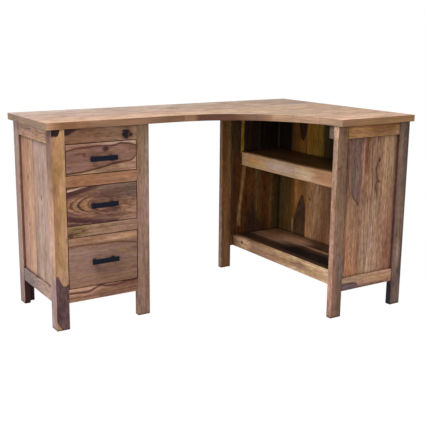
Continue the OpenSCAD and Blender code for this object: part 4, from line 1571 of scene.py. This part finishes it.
@dataclass(frozen=True)
class Studio:
    """A pale floor, soft light from the upper left, and the camera. Lengths are in metres."""

    place: Point = (-1.614192, -2.529330, 1.074563)
    turn: float = -30.961
    tilt: float = -12.432
    roll: float = 0.213
    lens: float = 66.23
    sensor: float = 36.0
    shift: tuple[float, float] = (0.0575, -0.0254)
    lamps: tuple[Lamp, ...] = (
        Lamp("key", (-2.6, -1.5, 4.6), (0.0, 0.0, 0.4), 2.0, 262.0, "fffefc"),
        Lamp("fill", (-3.2, -3.8, 1.3), (0.2, 0.0, 0.4), 2.4, 113.0, "fffefd"),
    )
    ambient: float = 0.30
    floor_half: float = 12.0
    floor_tone: str = "b8b5b1"
    floor_glow: float = 1.075
    shadow_share: float = 0.08

    def camera(self) -> None:
        """Adds the camera: it looks along its own minus Z, turned about Z, tilted, then rolled."""
        data = bpy.data.cameras.new("camera")
        data.sensor_width = self.sensor
        data.lens = self.lens
        data.shift_x, data.shift_y = self.shift
        camera = stand("camera", data)
        turn = Matrix.Rotation(np.radians(self.turn), 4, "Z")
        tilt = Matrix.Rotation(np.radians(90 + self.tilt), 4, "X")
        roll = Matrix.Rotation(np.radians(self.roll), 4, "Z")
        camera.matrix_world = Matrix.Translation(self.place) @ turn @ tilt @ roll
        bpy.context.scene.camera = camera

    @staticmethod
    def seen(graph: Graph) -> Socket:
        """Tells the rays that show a surface: camera, glossy and transmission rays.

        Args:
            graph: the tree of the world or the floor.

        Returns:
            One for those rays and 0 for the others.
        """
        path = graph.add("LightPath").node
        both = graph.add("Math.MAXIMUM", path.outputs["Is Camera Ray"], path.outputs["Is Glossy Ray"])
        return graph.add("Math.MAXIMUM", both, path.outputs["Is Transmission Ray"])

    def world(self) -> None:
        """Lights the scene evenly, and shows white to the camera and in reflections."""
        world = bpy.data.worlds.new("studio")
        bpy.context.scene.world = world
        graph = Graph.of(world)
        strength = graph.add("Mix", self.seen(graph), None, self.ambient, 1.0)
        glow = graph.add("Background", WHITE, strength)
        graph.add("OutputWorld", glow)

    def floor(self) -> None:
        """Lays a floor of matt white paint that reads as white and keeps a light shadow."""
        half = self.floor_half
        corners = [(-half, -half, 0), (half, -half, 0), (half, half, 0), (-half, half, 0)]
        mesh = bpy.data.meshes.new("floor")
        mesh.from_pydata(corners, [], [(0, 1, 2, 3)])
        floor = stand("floor", mesh)
        graph = new_material(floor, "matt_white_paint")
        share = graph.add("Math.MULTIPLY", self.seen(graph), 1.0 - self.shadow_share)
        paint = graph.add("BsdfDiffuse", linear(self.floor_tone))
        glow = graph.add("Emission", WHITE, self.floor_glow)
        both = graph.add("MixShader", share, paint, glow)
        graph.add("OutputMaterial", both)

    def build(self) -> None:
        """Sets up the floor, the light and the camera."""
        self.floor()
        self.world()
        for lamp in self.lamps:
            lamp.build()
        self.camera()
        bpy.context.scene.view_settings.view_transform = "Standard"


def main() -> None:
    """Builds the desk's parts in order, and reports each."""
    logging.basicConfig(level=logging.INFO, format="%(name)s: %(message)s")
    drawers = enumerate(DRAWER_FRONTS.items())
    parts = [
        DeskTop(),
        Pedestal(),
        *(Drawer(name, front, seed=50.0 + 3 * i) for i, (name, front) in drawers),
        ShelfUnit(),
        Studio(),
    ]
    for part in parts:
        part.build()
        LOG.info("built %s %s", type(part).__name__, getattr(part, "name", ""))


if __name__ == "__main__":
    main()
